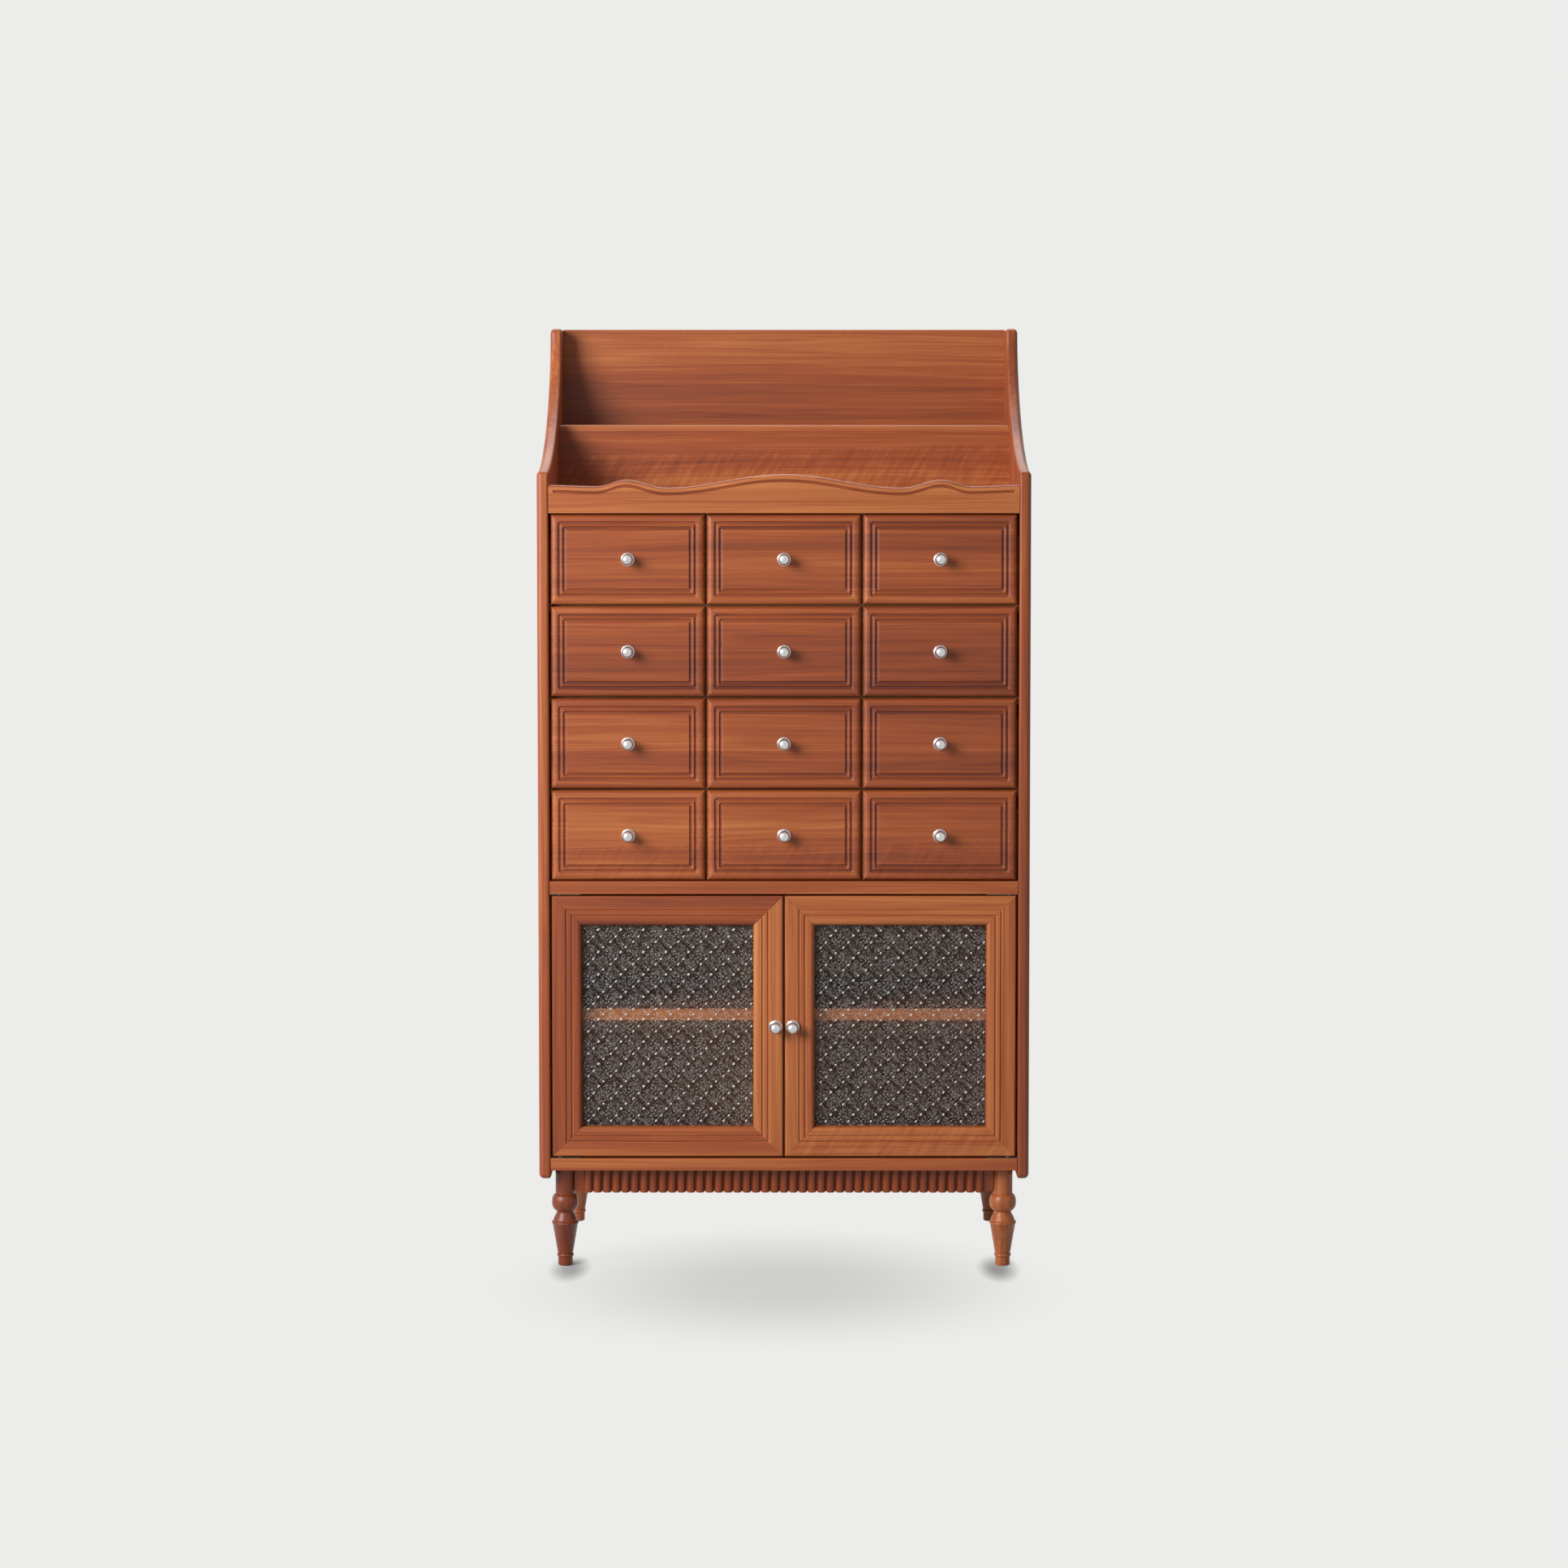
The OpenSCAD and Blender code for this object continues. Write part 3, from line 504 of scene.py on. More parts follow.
def turned(bm, outline, centre, axis, steps):
    """A turned solid: an outline of (radius, height) points spun about an axis."""
    axis = Vector(axis)
    side = axis.orthogonal().normalized()
    before = set(bm.faces)
    verts = [bm.verts.new(Vector(centre) + side * r + axis * h) for r, h in outline]
    edges = [bm.edges.new(pair) for pair in zip(verts, verts[1:])]
    bmesh.ops.spin(bm, geom=verts + edges, cent=centre, axis=axis, angle=math.tau,
                   steps=steps, use_merge=True)
    return [face for face in bm.faces if face not in before]


def line_section(middle, width, depth):
    """Section of a line cut by a round bit, with eased rims, as (across, depth) points."""
    ease = 0.05 * width
    half = width / 2 - ease
    radius = (half ** 2 + depth ** 2) / (2 * depth)
    reach = math.degrees(math.asin(half / radius))
    hollow = arc((middle, depth - radius), radius, 90 + reach, 90 - reach, 9)
    rim = 0.4 * ease
    points = [(across, down + rim) for across, down in hollow]
    return [(middle - width / 2, 0.0)] + points + [(middle + width / 2, 0.0)]


class DRESSER_OT_stage(bpy.types.Operator):
    """Add the floor, the background, the lights and the camera"""

    bl_idname = "dresser.stage"
    bl_label = "Stage"

    def execute(self, context):
        context.scene.view_settings.view_transform = "Standard"
        self.add_world(context)
        self.add_floor(context)
        self.add_light(context, "key", (-2.87, -2.67, 2.2), (0.0, -0.1, 0.85), 2.0, 212.0)
        self.add_light(context, "top", (0.0, 1.2, 3.1), (0.0, -0.2, 0.2), 1.8, 36.0)
        self.add_camera(context)
        return {"FINISHED"}

    def add_world(self, context):
        """Even room light, and the plain background where the camera and shine see it."""
        world = bpy.data.worlds.new("studio")
        world.use_nodes = True
        world.node_tree.nodes.clear()
        node = partial(add_node, world.node_tree)
        backdrop = context.scene.dresser_colours.backdrop
        room = node("Background", [(1, 1, 1, 1), 0.11])
        plain = node("Background", [(*backdrop, 1), 1.0])
        mixed = node("MixShader", [plain_rays(node), room[0], plain[0]])
        node("OutputWorld", [mixed[0]])
        context.scene.world = world

    def add_floor(self, context):
        """A wide floor, just under the feet."""
        bm = bmesh.new()
        bmesh.ops.create_grid(bm, x_segments=2, y_segments=2, size=30.0,
                              matrix=Matrix.Translation((0, 0, -0.5 * MM)))
        floor = add_object(context, "floor", to_mesh(bm, "floor"))
        floor.data.materials.append(finish(context, floor_with_painted_shadow))

    def add_light(self, context, name, place, target, size, power):
        """A square soft light that points at a target."""
        data = bpy.data.lights.new(name, "AREA")
        data.size = size
        data.energy = power
        light = add_object(context, name, data)
        light.location = place
        light.rotation_euler = (Vector(target) - Vector(place)).to_track_quat("-Z", "Y").to_euler()

    def add_camera(self, context):
        """A camera at the photograph's place: 5.2 m before the case, 1.29 m up, a little down."""
        data = bpy.data.cameras.new("camera")
        data.sensor_width = 36.0
        data.lens = 73.84
        data.shift_y = -0.0842
        data.clip_end = 100.0
        camera = add_object(context, "camera", data)
        camera.location = (0.0, -5.388, 1.285)
        camera.rotation_euler = (math.radians(87), 0.0, 0.0)
        context.scene.camera = camera


class DRESSER_OT_side_boards(bpy.types.Operator):
    """Shape the two side boards with their swept upper edges"""

    bl_idname = "dresser.side_boards"
    bl_label = "Side boards"

    # Power of the rounded corner that the sweep follows, and its steps
    POWER = 1.7
    STEPS = 40

    def execute(self, context):
        sizes = context.scene.dresser_sizes
        for side, sign in SIDES.items():
            low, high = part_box(f"side_{side}")
            inner, outer = (high.x, low.x) if sign < 0 else (low.x, high.x)
            bm = new_shape()
            face = bm.faces.new([bm.verts.new((outer, low.y + s, z))
                                 for s, z in self.outline(sizes, low, high)])
            grown = bmesh.ops.extrude_face_region(bm, geom=[face])["geom"]
            moved = [g for g in grown if isinstance(g, bmesh.types.BMVert)]
            bmesh.ops.translate(bm, verts=moved, vec=(inner - outer, 0, 0))
            round_over(bm, lambda p: abs(p.x - outer) < MM / 10, sizes.side_round, 6)
            round_over(bm, lambda p: abs(p.x - inner) < MM / 10, sizes.side_inner_round, 4)
            set_plank(bm, bm.faces, 3.1 + sign, -0.03 - 0.05 * sign)
            finish_piece(context, bm, f"{side}_side_board", [cherry_upright], f"side_{side}")
        return {"FINISHED"}

    def outline(self, sizes, low, high):
        """Outline of a side board as (setback, height) points."""
        depth = high.y - low.y
        reach = depth - sizes.hutch_top_depth
        shoulder, crown, toe = sizes.shoulder_round, sizes.crown_round, sizes.toe_round
        base = sizes.shoulder_height
        rise = high.z - base - crown
        power = self.POWER
        start = 1 - (1 - (shoulder / reach) ** power) ** (1 / power)
        shares = [start + (1 - start) * (i / self.STEPS) ** 2 for i in range(1, self.STEPS)]
        points = arc((toe, low.z + toe), toe, 270, 180, 8)
        points += arc((shoulder, base + start * rise - shoulder), shoulder, 180, 90, 8)
        points += [(reach * (1 - (1 - t) ** power) ** (1 / power), base + t * rise) for t in shares]
        points += arc((reach + crown, high.z - crown), crown, 180, 90, 8)
        return points + [(depth, high.z), (depth, low.z)]


class DRESSER_OT_hutch(bpy.types.Operator):
    """Lay up the hutch back and the divider from glued planks"""

    bl_idname = "dresser.hutch"
    bl_label = "Hutch back and divider"

    # Height and slope of each board's seams, and seed, tone and ripple of its planks from below
    SEAMS = {"back": ((1.444, -0.052),), "divider": ((1.341, 0.029), (1.3735, 0.0))}
    PLANKS = {"back": ((5.0, -0.12, 0.0), (6.4, 0.03, 0.15)),
              "divider": ((8.2, 0.06, 1.0), (9.7, -0.1, 0.0), (2.2, 0.06, 0.0))}

    def execute(self, context):
        sizes = context.scene.dresser_sizes
        for part, radius, steps in (("back", 2 * sizes.board_round, 5),
                                    ("divider", sizes.divider_round, 6)):
            low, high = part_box(f"hutch_{part}")
            bm = new_shape()
            board(bm, low, high)
            round_over(bm, lambda p: p.z > high.z - MM, radius, steps)
            for face, plank in split_planks(bm, self.SEAMS[part]):
                set_plank(bm, [face], *self.PLANKS[part][plank])
            finish_piece(context, bm, f"hutch_{part}_board", [cherry_level], f"hutch_{part}")
        return {"FINISHED"}


class DRESSER_OT_gallery_rail(bpy.types.Operator):
    """Shape the waved gallery rail and its routed line"""

    bl_idname = "dresser.gallery_rail"
    bl_label = "Gallery rail"

    # Share of half the length and drop below the middle crest, in millimetres
    WAVE = ((0, 0), (0.5, 21.8), (0.67, 9), (0.795, 19.5), (1, 17.5))
    # Places about the round end of the line, in millimetres, and even steps between the ends
    END = (-3.2, -2.2, -1.8, -1.3, -0.8, -0.4, -0.12, 0, 0.3)
    STEPS = 90
    SEED = 12.3
    TONE = 0.3

    def execute(self, context):
        sizes = context.scene.dresser_sizes
        low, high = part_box("gallery_rail")
        half = (high.x - low.x) / 2
        bm = new_shape()
        loops = []
        for x in self.stations(sizes, half):
            top = high.z - self.drop(abs(x) / half) * MM
            reach = (half - sizes.rail_line_end - abs(x)) / (sizes.rail_line_width / 2)
            width = sizes.rail_line_width * self.end_share(reach)
            section = self.section(sizes, low, high, top, width)
            loops.append(loop_of(bm, [(x, y, z) for y, z in section]))
        skin(bm, loops)
        set_plank(bm, bm.faces, self.SEED, self.TONE, 0.1)
        # Faces in the routed line's hollow are darker: partly stain, partly painted shade
        for face in bm.faces:
            spot = face.calc_center_median()
            hollow = low.y + MM < spot.y < low.y + 5 * MM and spot.z < high.z - 6 * MM
            if hollow and abs(face.normal.x) < 0.9:
                set_plank(bm, [face], self.SEED, self.TONE + STAIN_AND_PAINTED_SHADE)
        finish_piece(context, bm, "waved_gallery_rail", [cherry_level], "gallery_rail")
        return {"FINISHED"}

    def drop(self, share):
        """Drop of the waved edge at a share of half the length."""
        for (a, first), (b, last) in zip(self.WAVE, self.WAVE[1:]):
            if share <= b:
                turn = math.pi * (share - a) / (b - a)
                return first + (last - first) * (1 - math.cos(turn)) / 2
        return self.WAVE[-1][1]

    def end_share(self, reach):
        """Share of the line's width at a distance from its round end, in half widths."""
        return max(0.02, math.sqrt(1 - (1 - min(max(reach, 0), 1)) ** 2))

    def stations(self, sizes, half):
        """Places along the rail, close together at the ends of the routed line."""
        end = half - sizes.rail_line_end
        close = [end + MM * s for s in self.END]
        even = [end * i / self.STEPS for i in range(self.STEPS)]
        places = [x for x in even if x < close[0] - MM] + close + [half]
        return [-x for x in reversed(places[1:])] + places

    def section(self, sizes, low, high, top, width):
        """Section of the rail as (y, z) points, from the foot of its front round to the back."""
        radius = sizes.rail_round
        middle = top - sizes.rail_line_drop
        line = [(low.y + depth, z) for z, depth in line_section(middle, width, 0.4 * width)]
        over = arc((low.y + radius, top - radius), radius, 180, 90, 6)
        behind = arc((high.y - radius, top - radius), radius, 90, 0, 6)
        return [(low.y, low.z)] + line + over + behind + [(high.y, low.z)]


class DRESSER_OT_case_boards(bpy.types.Operator):
    """Ease the bottom board and the board between drawers and doors"""

    bl_idname = "dresser.case_boards"
    bl_label = "Bottom and middle boards"

    def execute(self, context):
        sizes = context.scene.dresser_sizes
        for name, seed in (("bottom", 14.6), ("middle", 15.9)):
            low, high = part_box(f"{name}_board")
            bm = new_shape()
            board(bm, low, high)
            round_over(bm, lambda p: p.y < low.y + MM, sizes.board_round)
            set_plank(bm, bm.faces, seed, -0.03)
            finish_piece(context, bm, f"{name}_case_board", [cherry_level], f"{name}_board")
        return {"FINISHED"}


class DRESSER_OT_drawer_fronts(bpy.types.Operator):
    """Shape the twelve drawer fronts with their two routed rectangles"""

    bl_idname = "dresser.drawer_fronts"
    bl_label = "Drawer fronts"

    # For each row: height and slope of the seam, then tone and ripple under and over it
    ROWS = (((1.1160, 0.0), (0.02, 0.1), (-0.12, 0.0)),
            ((1.0215, -0.016), (-0.17, 0.0), (-0.07, 0.1)),
            ((0.8520, 0.0), (-0.08, 0.0), (0.0, 0.1)),
            ((0.6990, 0.01), (0.06, 0.6), (0.03, 0.1)))
    # Change of tone from column to column, and in a routed line, where the darker tone is partly
    # stain and partly painted shade, less here than on the rail
    COLUMN_TONES = (0.02, 0.0, -0.05)
    LINE_STAIN_AND_SHADE = 0.65 * STAIN_AND_PAINTED_SHADE
    # Steps round a corner, and the small radius at an outer corner
    CORNER_STEPS = 4
    SHARP = 0.6 * MM

    def execute(self, context):
        sizes = context.scene.dresser_sizes
        for n in range(1, DRAWERS + 1):
            low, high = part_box(f"drawer_{n}_front")
            bm = new_shape()
            self.shape(bm, sizes, low, high)
            row, column = divmod(n - 1, COLUMNS)
            seam, *planks = self.ROWS[row]
            for face, plank in split_planks(bm, [seam]):
                tone, ripple = planks[plank]
                tone += self.COLUMN_TONES[column]
                spot = face.calc_center_median()
                inside = min(spot.x - low.x, high.x - spot.x, spot.z - low.z, high.z - spot.z)
                # Faces deep in a routed line are darker: partly stain, partly painted shade
                deep = spot.y > low.y + 0.6 * sizes.front_line_depth
                if deep and inside > sizes.front_round + MM:
                    tone += self.LINE_STAIN_AND_SHADE
                set_plank(bm, [face], 20 + 3.7 * row + 1.3 * plank, tone, ripple)
            finish_piece(context, bm, f"front_panel_{n}", [cherry_level], f"drawer_{n}_front",
                         f"drawer_{n}")
        return {"FINISHED"}

    def shape(self, bm, sizes, low, high):
        """Skin one front over rounded rectangles, from its back edge to its middle field.

        The rectangles stand apart in depth while they are joined, then move to their depths.
        """
        profile = self.profile(sizes, high.y - low.y)
        rings = [self.rectangle(bm, low, high, inset, low.y - i * MM, corner)
                 for i, (inset, _, corner) in enumerate(profile)]
        skin(bm, [list({edge for vert in ring for edge in vert.link_edges}) for ring in rings])
        for ring, (_, depth, _) in zip(rings, profile):
            for vert in ring:
                vert.co.y = low.y + depth

    def profile(self, sizes, thickness):
        """Section of a front as (inset from the edge, depth, corner radius) points."""
        radius = sizes.front_round
        # The rounded edge falls a little less than it is wide
        fall = 0.92 * radius
        points = [(0.0, thickness, self.SHARP)]
        for out, rise in arc((radius, 0.0), (radius, fall), 180, 90, 8):
            points.append((out, fall - rise, self.SHARP))
        for middle in (sizes.front_outer_line, sizes.front_inner_line):
            for inset, depth in line_section(middle, sizes.front_line_width,
                                             sizes.front_line_depth):
                corner = max(0.4 * MM, sizes.front_line_corner + middle - inset)
                points.append((inset, depth, corner))
        return points

    def rectangle(self, bm, low, high, inset, y, corner):
        """An upright rectangle with rounded corners: a circle whose quarters move apart."""
        segments = 4 * self.CORNER_STEPS
        upright = Matrix.Rotation(math.radians(90), 4, "X")
        half_step = Matrix.Rotation(math.pi / segments, 4, "Z")
        verts = bmesh.ops.create_circle(bm, segments=segments, radius=corner,
                                        matrix=upright @ half_step)["verts"]
        width = (high.x - low.x) / 2 - inset - corner
        height = (high.z - low.z) / 2 - inset - corner
        middle = (low + high) / 2
        for vert in verts:
            across = math.copysign(width, vert.co.x)
            up = math.copysign(height, vert.co.z)
            vert.co += Vector((middle.x + across, y, middle.z + up))
        return verts


class DRESSER_OT_door_frames(bpy.types.Operator):
    """Mitre the doors' stiles, rails and glazing beads from their mouldings"""

    bl_idname = "dresser.door_frames"
    bl_label = "Door frames"

    # Bottom rail, top rail, left stile and right stile: upright or not, far side or not
    MEMBERS = ((False, False), (False, True), (True, False), (True, True))
    TONES = {"left": (0.0, -0.15, -0.24, 0.26), "right": (0.22, 0.28, 0.12, 0.07)}

    def execute(self, context):
        sizes = context.scene.dresser_sizes
        for side, sign in SIDES.items():
            low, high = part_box(f"door_{side}_frame")
            bm = new_shape()
            thickness = high.y - low.y
            for (upright, far), tone in zip(self.MEMBERS, self.TONES[side]):
                seed = 40 + 5 * sign + 2 * upright + far
                curl = 0.9 if side == "right" and not (upright or far) else 0.1
                parts = ((self.moulding(sizes, thickness), seed, curl),
                         (self.bead(sizes, thickness), seed + 0.5, 0.0))
                for section, piece_seed, ripple in parts:
                    faces = self.member(bm, section, sizes, low, high, upright, far)
                    set_plank(bm, faces, piece_seed, tone, ripple)
            finish_piece(context, bm, f"{side}_door_frame", [cherry_level, cherry_upright],
                         f"door_{side}_frame", f"door_{side}")
        return {"FINISHED"}

    def moulding(self, sizes, thickness):
        """Section of a stile or rail as (distance from the outer edge, depth) points."""
        radius = sizes.door_round
        points = [(out, 2 * radius - depth)
                  for out, depth in arc((radius, radius), radius, 180, 90, 5)]
        for middle in (sizes.door_outer_line, sizes.door_inner_line):
            points += line_section(middle, sizes.door_line_width, sizes.door_line_depth)
        drop = sizes.door_moulding_drop
        points += [(out, drop - rise)
                   for out, rise in arc((sizes.door_member - drop, 0.0), drop, 90, 0, 7)]
        rebate = sizes.door_member - sizes.door_rebate
        return points + [(sizes.door_member, sizes.door_glass_setback),
                         (rebate, sizes.door_glass_setback), (rebate, thickness), (0.0, thickness)]

    def bead(self, sizes, thickness):
        """Section of the bead that holds the glass from behind."""
        near = sizes.door_glass_setback + sizes.door_glass_thickness
        start = sizes.door_member - sizes.door_rebate + 0.1 * MM
        ease = 1.5 * MM
        return [(start, near), (sizes.door_member, near), (sizes.door_member, thickness - ease),
                (sizes.door_member - ease, thickness), (start, thickness)]

    def member(self, bm, section, sizes, low, high, upright, far):
        """Extrude a section along one side of the frame and mitre its two ends."""
        size = high - low
        run, across = (size.z, size.x) if upright else (size.x, size.z)
        before = set(bm.faces)
        face = bm.faces.new([bm.verts.new((0, depth, out)) for out, depth in section])
        grown = bmesh.ops.extrude_face_region(bm, geom=[face])["geom"]
        ends = [g for g in grown if isinstance(g, bmesh.types.BMVert)]
        faces = [f for f in bm.faces if f not in before]
        verts = list({v for f in faces for v in f.verts})
        for vert in verts:
            cut = vert.co.z + sizes.mitre_gap
            vert.co.x = run - cut if vert in ends else cut
        if far:
            bmesh.ops.transform(bm, verts=verts, matrix=Matrix.Translation((0, 0, across))
                                @ Matrix.Scale(-1, 4, (0, 0, 1)))
        if upright:
            turn = Matrix(((0, 0, 1, 0), (0, 1, 0, 0), (1, 0, 0, 0), (0, 0, 0, 1)))
            bmesh.ops.transform(bm, verts=verts, matrix=turn)
        bmesh.ops.translate(bm, verts=verts, vec=low)
        for f in faces:
            f.material_index = 1 if upright else 0
        return faces


class DRESSER_OT_door_glass(bpy.types.Operator):
    """Roll the two patterned panes, with beads at the pattern's high points"""

    bl_idname = "dresser.door_glass"
    bl_label = "Patterned glass"

    # Each bead: across and up from a bright pair's middle, half length, half width and height
    # in millimetres, turn in degrees and painted brightness, a painted glint. Two pairs of beads
    # painted bright slant the same way, the second joined by a thin stroke, with small beads and
    # strokes between them.
    PATTERN = ((3.9, 4.1, 1.9, 1.7, 1.0, 0, 0.9), (-3.9, -4.1, 2.6, 1.7, 1.0, 47, 0.9),
               (-12.0, 21.4, 2.9, 1.4, 1.0, 46, 0.75), (-20.5, 12.8, 2.9, 1.4, 1.0, 46, 0.75),
               (-16.2, 17.0, 3.2, 0.5, 0.4, 46, 0.2), (-8.9, 25.1, 1.6, 0.5, 0.4, 46, 0.2),
               (-6.6, 14.2, 1.5, 0.5, 0.4, -46, 0.25), (-2.9, 10.7, 1.2, 0.6, 0.4, -46, 0.3),
               (0.2, 7.8, 1.0, 1.0, 0.6, 0, 0.55), (-9.9, 17.6, 1.0, 0.6, 0.4, -46, 0.2),
               (0.4, 23.2, 1.6, 0.5, 0.5, -15, 0.45), (3.5, 26.6, 0.8, 0.8, 0.5, 0, 0.45),
               (8.7, 28.9, 1.2, 0.9, 0.6, -40, 0.45), (9.0, 22.4, 1.0, 0.9, 0.6, 0, 0.5),
               (12.4, 24.5, 1.3, 0.8, 0.5, -45, 0.45), (10.6, 16.0, 1.1, 1.0, 0.6, 0, 0.45),
               (10.8, -2.6, 1.1, 1.0, 0.6, 0, 0.45), (-21.0, -7.1, 1.1, 1.0, 0.6, 0, 0.45),
               (-15.5, -9.4, 1.1, 1.0, 0.6, 0, 0.45), (15.8, 20.6, 1.8, 0.6, 0.5, 42, 0.45))
    # Where the first pair lies from each pane's upper left corner, in millimetres, and where
    # the bands cross from there, both across and down
    PHASE = {"left": (38.0, 11.4), "right": (38.0, 21.3)}
    CROSSING = (1.2 * MM, 3.1 * MM)
    # Repeats that are tried across and down; those outside the frame's opening are left out
    REPEATS = (range(-2, 10), range(-1, 12))

    def execute(self, context):
        sizes = context.scene.dresser_sizes
        for side in SIDES:
            low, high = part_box(f"door_{side}_glass")
            bm = new_shape()
            board(bm, low, high)
            round_over(bm, lambda p: True, 0.4 * MM, 1)
            across, down = self.PHASE[side]
            set_plank(bm, bm.faces, low.x + across * MM + self.CROSSING[0], 0.0,
                      high.z - down * MM - self.CROSSING[1])
            self.add_beads(bm, sizes, low, high, self.PHASE[side])
            finish_piece(context, bm, f"{side}_door_pane", [cast_glass, glass_beads_painted_glint],
                         f"door_{side}_glass", f"door_{side}", weighted=False)
        return {"FINISHED"}

    def add_beads(self, bm, sizes, low, high, phase):
        """Repeat the pattern's beads over the part of the pane that shows."""
        cell = sizes.glass_cell
        columns, rows = self.REPEATS
        for across, up, long, wide, tall, turn, bright in self.PATTERN:
            bead = self.bead_mesh(bright)
            rim = sizes.door_rebate + long * MM
            for i in columns:
                for k in rows:
                    x = low.x + i * cell + (phase[0] + across) * MM
                    z = high.z - k * cell + (up - phase[1]) * MM
                    if not (low.x + rim < x < high.x - rim and low.z + rim < z < high.z - rim):
                        continue
                    shape = Matrix.Translation((x, low.y, z))
                    shape @= Matrix.Rotation(math.radians(-turn), 4, "Y")
                    shape @= Matrix.Diagonal((long * MM, tall * MM, wide * MM, 1))
                    bead.transform(shape)
                    bm.from_mesh(bead)
                    bead.transform(shape.inverted())
            bpy.data.meshes.remove(bead)

    def bead_mesh(self, bright):
        """A round bead of unit radius, the shape that the pattern repeats."""
        bm = new_shape()
        bmesh.ops.create_uvsphere(bm, u_segments=6, v_segments=4, radius=1)
        set_plank(bm, bm.faces, 0.0, bright)
        for face in bm.faces:
            face.material_index = 1
        return to_mesh(bm, "bead")


class DRESSER_OT_knobs(bpy.types.Operator):
    """Turn the fourteen chrome knobs with their rosettes and screws"""

    bl_idname = "dresser.knobs"
    bl_label = "Knobs"

    # Steps of the ball's outline, from where it starts to its top, and how square it is
    STEPS = 18
    SQUARE = 0.86

    def execute(self, context):
        sizes = context.scene.dresser_sizes
        knobs = [(f"drawer_{n}", "front", sizes.drawer_grip) for n in range(1, DRAWERS + 1)]
        knobs += [(f"door_{side}", "frame", sizes.door_grip) for side in SIDES]
        for body, carrier, grip in knobs:
            low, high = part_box(f"{body}_knob")
            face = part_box(f"{body}_{carrier}")[0].y
            centre = ((low.x + high.x) / 2, face, (low.z + high.z) / 2)
            bm = new_shape()
            turned(bm, self.outline(sizes, grip), centre, (0, -1, 0), 32)
            finish_piece(context, bm, f"{body}_chrome_knob", [polished_chrome], f"{body}_knob",
                         body, weighted=False)
        return {"FINISHED"}

    def outline(self, sizes, grip):
        """Outline of a knob as (radius, height over the face), from the screw's head."""
        head = 2.4 * MM
        wide = sizes.knob_rosette
        ball = sizes.knob_ball
        points = [(0, -grip - head), (3.5 * MM, -grip - head), (4 * MM, -grip - head + 0.5 * MM),
                  (4 * MM, -grip), (2 * MM, -grip), (2 * MM, 0), (wide - 0.4 * MM, 0)]
        points += arc((wide - MM, MM), MM, -60, 0, 3)
        points += arc((wide - 0.6 * MM, 2 * MM), 0.6 * MM, 0, 180, 5)
        points += [(wide - 1.3 * MM, MM), (wide - 1.8 * MM, 0.7 * MM), (5.6 * MM, 0.9 * MM),
                   (4.8 * MM, 2 * MM), (4.5 * MM, 4 * MM), (4.5 * MM, 7 * MM)]
        middle = sizes.knob_out - ball
        for i in range(self.STEPS + 1):
            a = math.radians(-58 + i * 148 / self.STEPS)
            up = math.copysign(abs(math.sin(a)) ** self.SQUARE, a)
            out = ball * math.cos(a) ** self.SQUARE if i < self.STEPS else 0.0
            points.append((out, middle + ball * up))
        return points


class DRESSER_OT_legs(bpy.types.Operator):
    """Turn the four legs"""

    bl_idname = "dresser.legs"
    bl_label = "Legs"

    def execute(self, context):
        sizes = context.scene.dresser_sizes
        low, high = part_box("legs")
        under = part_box("bottom_board")[0].z
        reach = sizes.leg_collar
        bm = new_shape()
        for i, x in enumerate((low.x + reach, high.x - reach)):
            for k, y in enumerate((low.y + reach, high.y - reach)):
                faces = turned(bm, self.outline(sizes, under), (x, y, 0), (0, 0, 1), 48)
                dark = i == k == 0
                set_plank(bm, faces, 60 + 2 * i + 5 * k, -0.2 if dark else 0.12)
                for face in faces:
                    face.material_index = 0 if dark else 1
        finish_piece(context, bm, "turned_legs", [cherry_turned, cherry_upright], "legs",
                     weighted=False)
        return {"FINISHED"}

    def outline(self, sizes, top):
        """Outline of a leg as (radius, height), from the floor up."""
        collar = sizes.leg_collar - 2.5 * MM
        neck = 14 * MM
        points = [(0, 0), (10.4 * MM, 0)] + arc((10.4 * MM, 1.6 * MM), 1.6 * MM, -60, 0, 3)
        points += [(12 * MM, 13.4 * MM)] + arc((11.6 * MM, 17 * MM), (2.2 * MM, 3 * MM), -80, 80, 8)
        points += [(12.6 * MM, 20.4 * MM), (collar + 1.1 * MM, 68.6 * MM)]
        points += arc((collar, 71 * MM), 2.5 * MM, -50, 62, 6)
        # The hollow between collar and ball
        for i in range(13):
            t = i / 12
            points.append((collar + (neck - collar) * (1 - math.cos(math.pi * t)) / 2,
                           (73.6 + (90 - 73.6) * t) * MM))
        # The ball, between the neck below it and the shaft above
        for i in range(25):
            a = math.radians(-90 + 7.5 * i)
            edge = neck if a < 0 else sizes.leg_shaft
            points.append((edge + (sizes.leg_ball - edge) * math.cos(a),
                           (104.5 + 13.5 * math.sin(a)) * MM))
        return points + [(sizes.leg_shaft, 118.6 * MM), (sizes.leg_shaft, top), (0, top)]


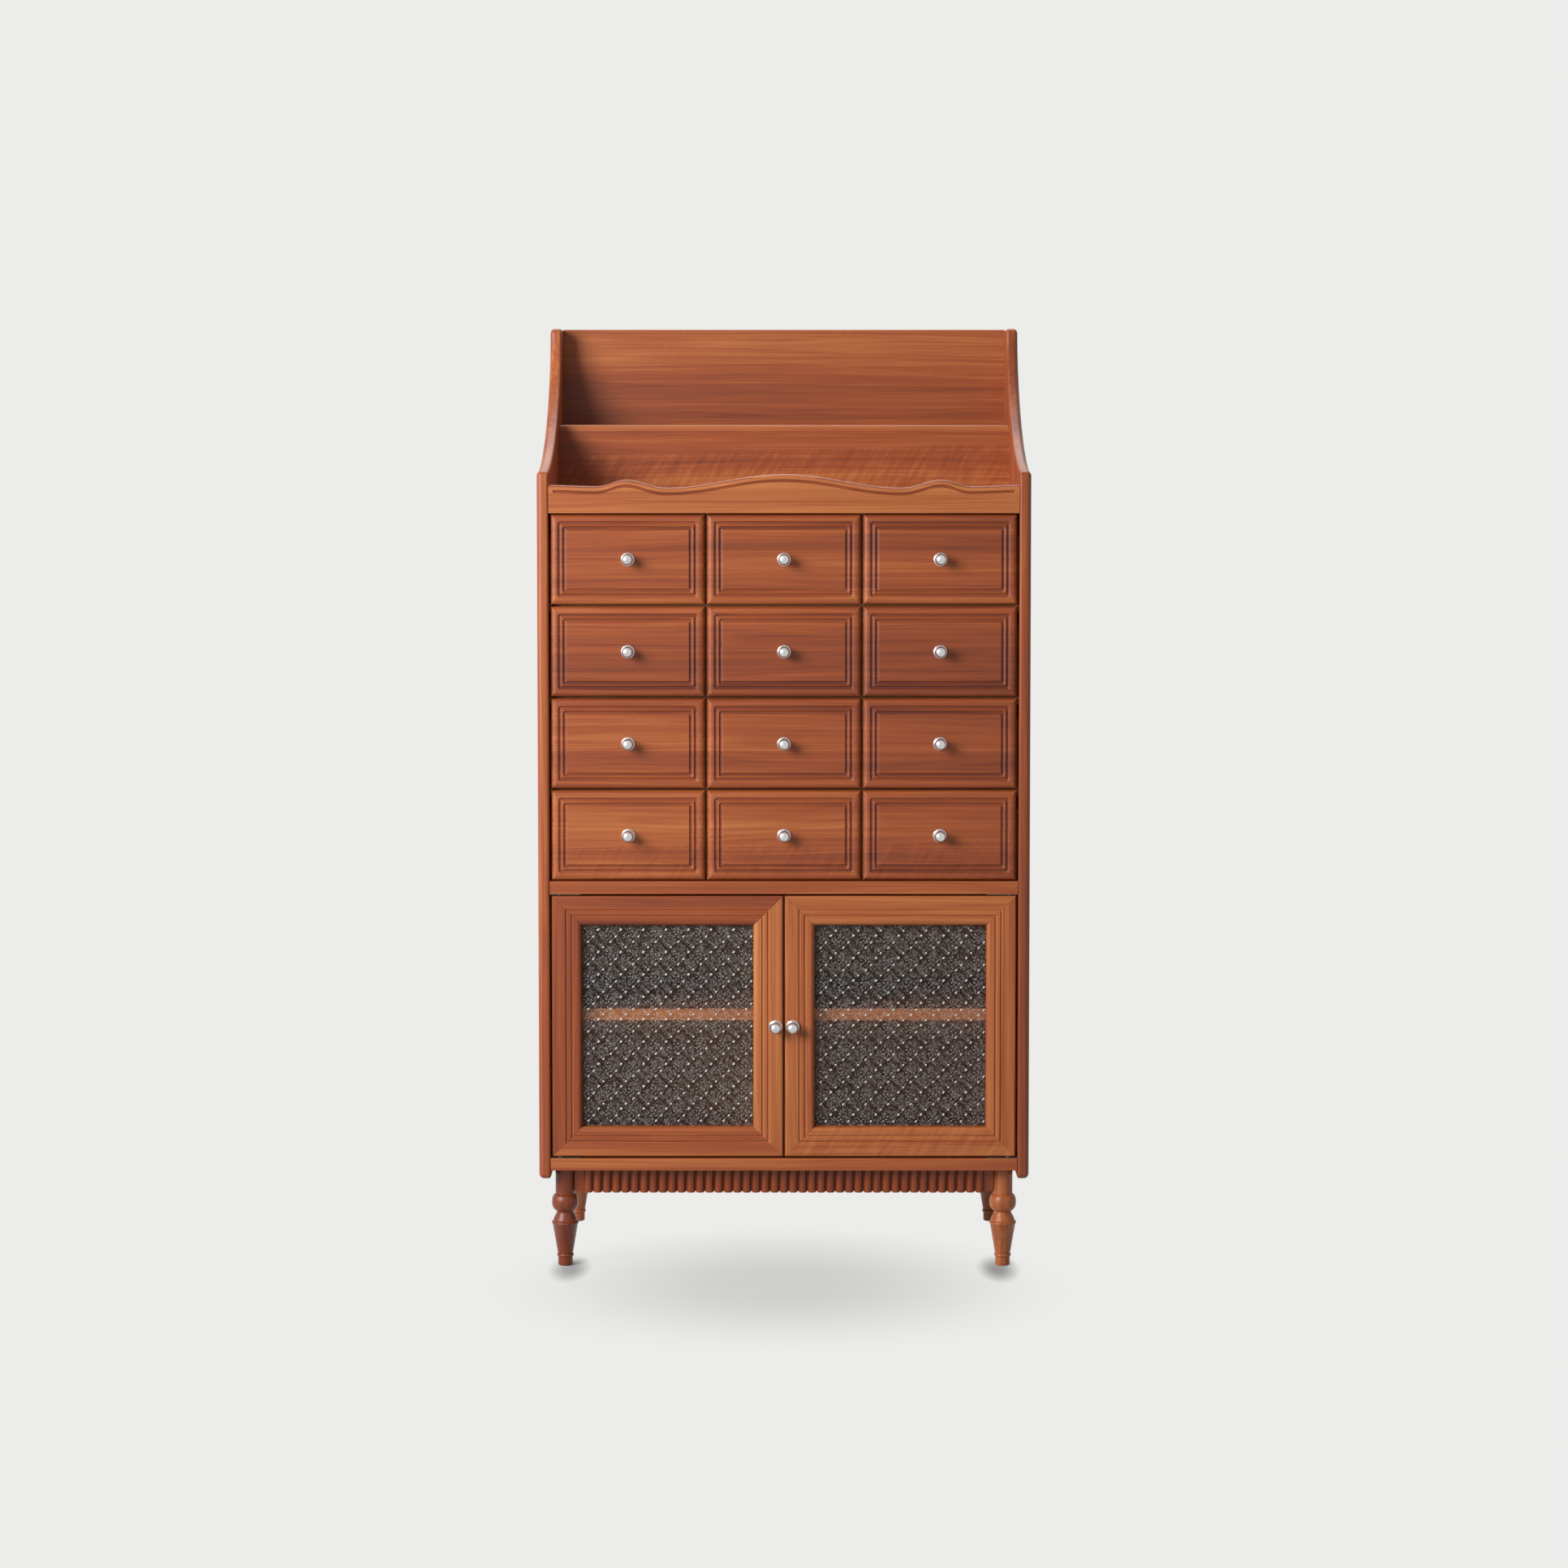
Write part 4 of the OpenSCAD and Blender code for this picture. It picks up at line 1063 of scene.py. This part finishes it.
class DRESSER_OT_apron(bpy.types.Operator):
    """Set the reeds on the apron's board"""

    bl_idname = "dresser.apron"
    bl_label = "Reeded apron"

    def execute(self, context):
        sizes = context.scene.dresser_sizes
        low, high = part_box("apron")
        radius = sizes.reed_radius
        bm = new_shape()
        face = low.y + radius
        board(bm, (low.x, face, low.z + 1.2 * MM), high)
        round_over(bm, lambda p: p.z < low.z + 2 * MM, 0.8 * MM, 2)
        set_plank(bm, bm.faces, 71.0)
        # The reeds leave 12 mm of plain board at both ends
        count = math.floor((high.x - low.x - 24 * MM) / sizes.reed_pitch)
        outline = [(0, 0)] + arc((radius - 0.7 * MM, 0.7 * MM), 0.7 * MM, -90, 0, 3)
        outline += [(radius, high.z - low.z), (0, high.z - low.z)]
        for i in range(count):
            x = (i - (count - 1) / 2) * sizes.reed_pitch
            faces = turned(bm, outline, (x, face, low.z), (0, 0, 1), 18)
            set_plank(bm, faces, 73 + 0.61 * i, 0.06 * math.sin(2.4 * i))
        finish_piece(context, bm, "reeded_apron", [cherry_turned], "apron", weighted=False)
        return {"FINISHED"}


class DRESSER_OT_shelves(bpy.types.Operator):
    """Ease the two shelves; their front edges are painted lighter than their boards, painted light
    for the lit edges seen through the glass
    """

    bl_idname = "dresser.shelves"
    bl_label = "Shelves"

    def execute(self, context):
        sizes = context.scene.dresser_sizes
        low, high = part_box("shelves")
        bm = new_shape()
        bm.from_mesh(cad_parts["shelves"].data)
        bmesh.ops.dissolve_limit(bm, angle_limit=math.radians(1), verts=bm.verts, edges=bm.edges)
        round_over(bm, lambda p: p.y < low.y + MM, sizes.board_round, 3)
        for face in bm.faces:
            # Front edges are painted lighter: painted light on the edges that the lamp lights
            # through the glass
            front = face.calc_center_median().y < low.y + 2 * MM
            set_plank(bm, [face], 17.3, 0.4 if front else -0.5)
        finish_piece(context, bm, "cabinet_shelves", [cherry_level], "shelves")
        return {"FINISHED"}


class DRESSER_OT_inner_boards(bpy.types.Operator):
    """Give the boards inside the case and the drawer boxes their wood"""

    bl_idname = "dresser.inner_boards"
    bl_label = "Inner boards"

    def execute(self, context):
        woods = {"deck": cherry_level, "cabinet_partition": drawer_deep, "case_back": drawer_level,
                 "drawer_partitions": drawer_deep, "dust_boards": drawer_level}
        woods.update({f"drawer_{n}_box": drawer_deep for n in range(1, DRAWERS + 1)})
        for node, make in woods.items():
            finish_node(context, node, make)
        return {"FINISHED"}


class DRESSER_OT_hardware(bpy.types.Operator):
    """Give shelf pins, pivot plates and catches their metal and plastic"""

    bl_idname = "dresser.hardware"
    bl_label = "Pins, pivots and catches"

    def execute(self, context):
        for node, make in (("shelf_pins", rolled_steel), ("pivot_plates", rolled_steel),
                           ("door_catches", moulded_plastic)):
            finish_node(context, node, make)
        return {"FINISHED"}


OPERATORS = (DRESSER_OT_stage, DRESSER_OT_side_boards, DRESSER_OT_hutch, DRESSER_OT_gallery_rail,
             DRESSER_OT_case_boards, DRESSER_OT_drawer_fronts, DRESSER_OT_door_frames,
             DRESSER_OT_door_glass, DRESSER_OT_knobs, DRESSER_OT_legs, DRESSER_OT_apron,
             DRESSER_OT_shelves, DRESSER_OT_inner_boards, DRESSER_OT_hardware)


class DRESSER_PT_pieces(bpy.types.Panel):
    """The dresser's pieces, in the sidebar of the 3D view"""

    bl_idname = "DRESSER_PT_pieces"
    bl_label = "Dresser"
    bl_space_type = "VIEW_3D"
    bl_region_type = "UI"
    bl_category = "Dresser"

    def draw(self, context):
        column = self.layout.column(align=True)
        for operator in OPERATORS:
            column.operator(operator.bl_idname)


CLASSES = (DresserSizes, DresserColours, *OPERATORS, DRESSER_PT_pieces)


def register():
    """Register the classes and the settings on the scene."""
    for cls in CLASSES:
        bpy.utils.register_class(cls)
    bpy.types.Scene.dresser_sizes = bpy.props.PointerProperty(type=DresserSizes)
    bpy.types.Scene.dresser_colours = bpy.props.PointerProperty(type=DresserColours)


def unregister():
    """Remove the settings and the classes."""
    del bpy.types.Scene.dresser_colours
    del bpy.types.Scene.dresser_sizes
    for cls in reversed(CLASSES):
        bpy.utils.unregister_class(cls)


def main():
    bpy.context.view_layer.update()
    register()
    for operator in OPERATORS:
        getattr(bpy.ops.dresser, operator.bl_idname.removeprefix("dresser."))()


if __name__ == "__main__":
    main()
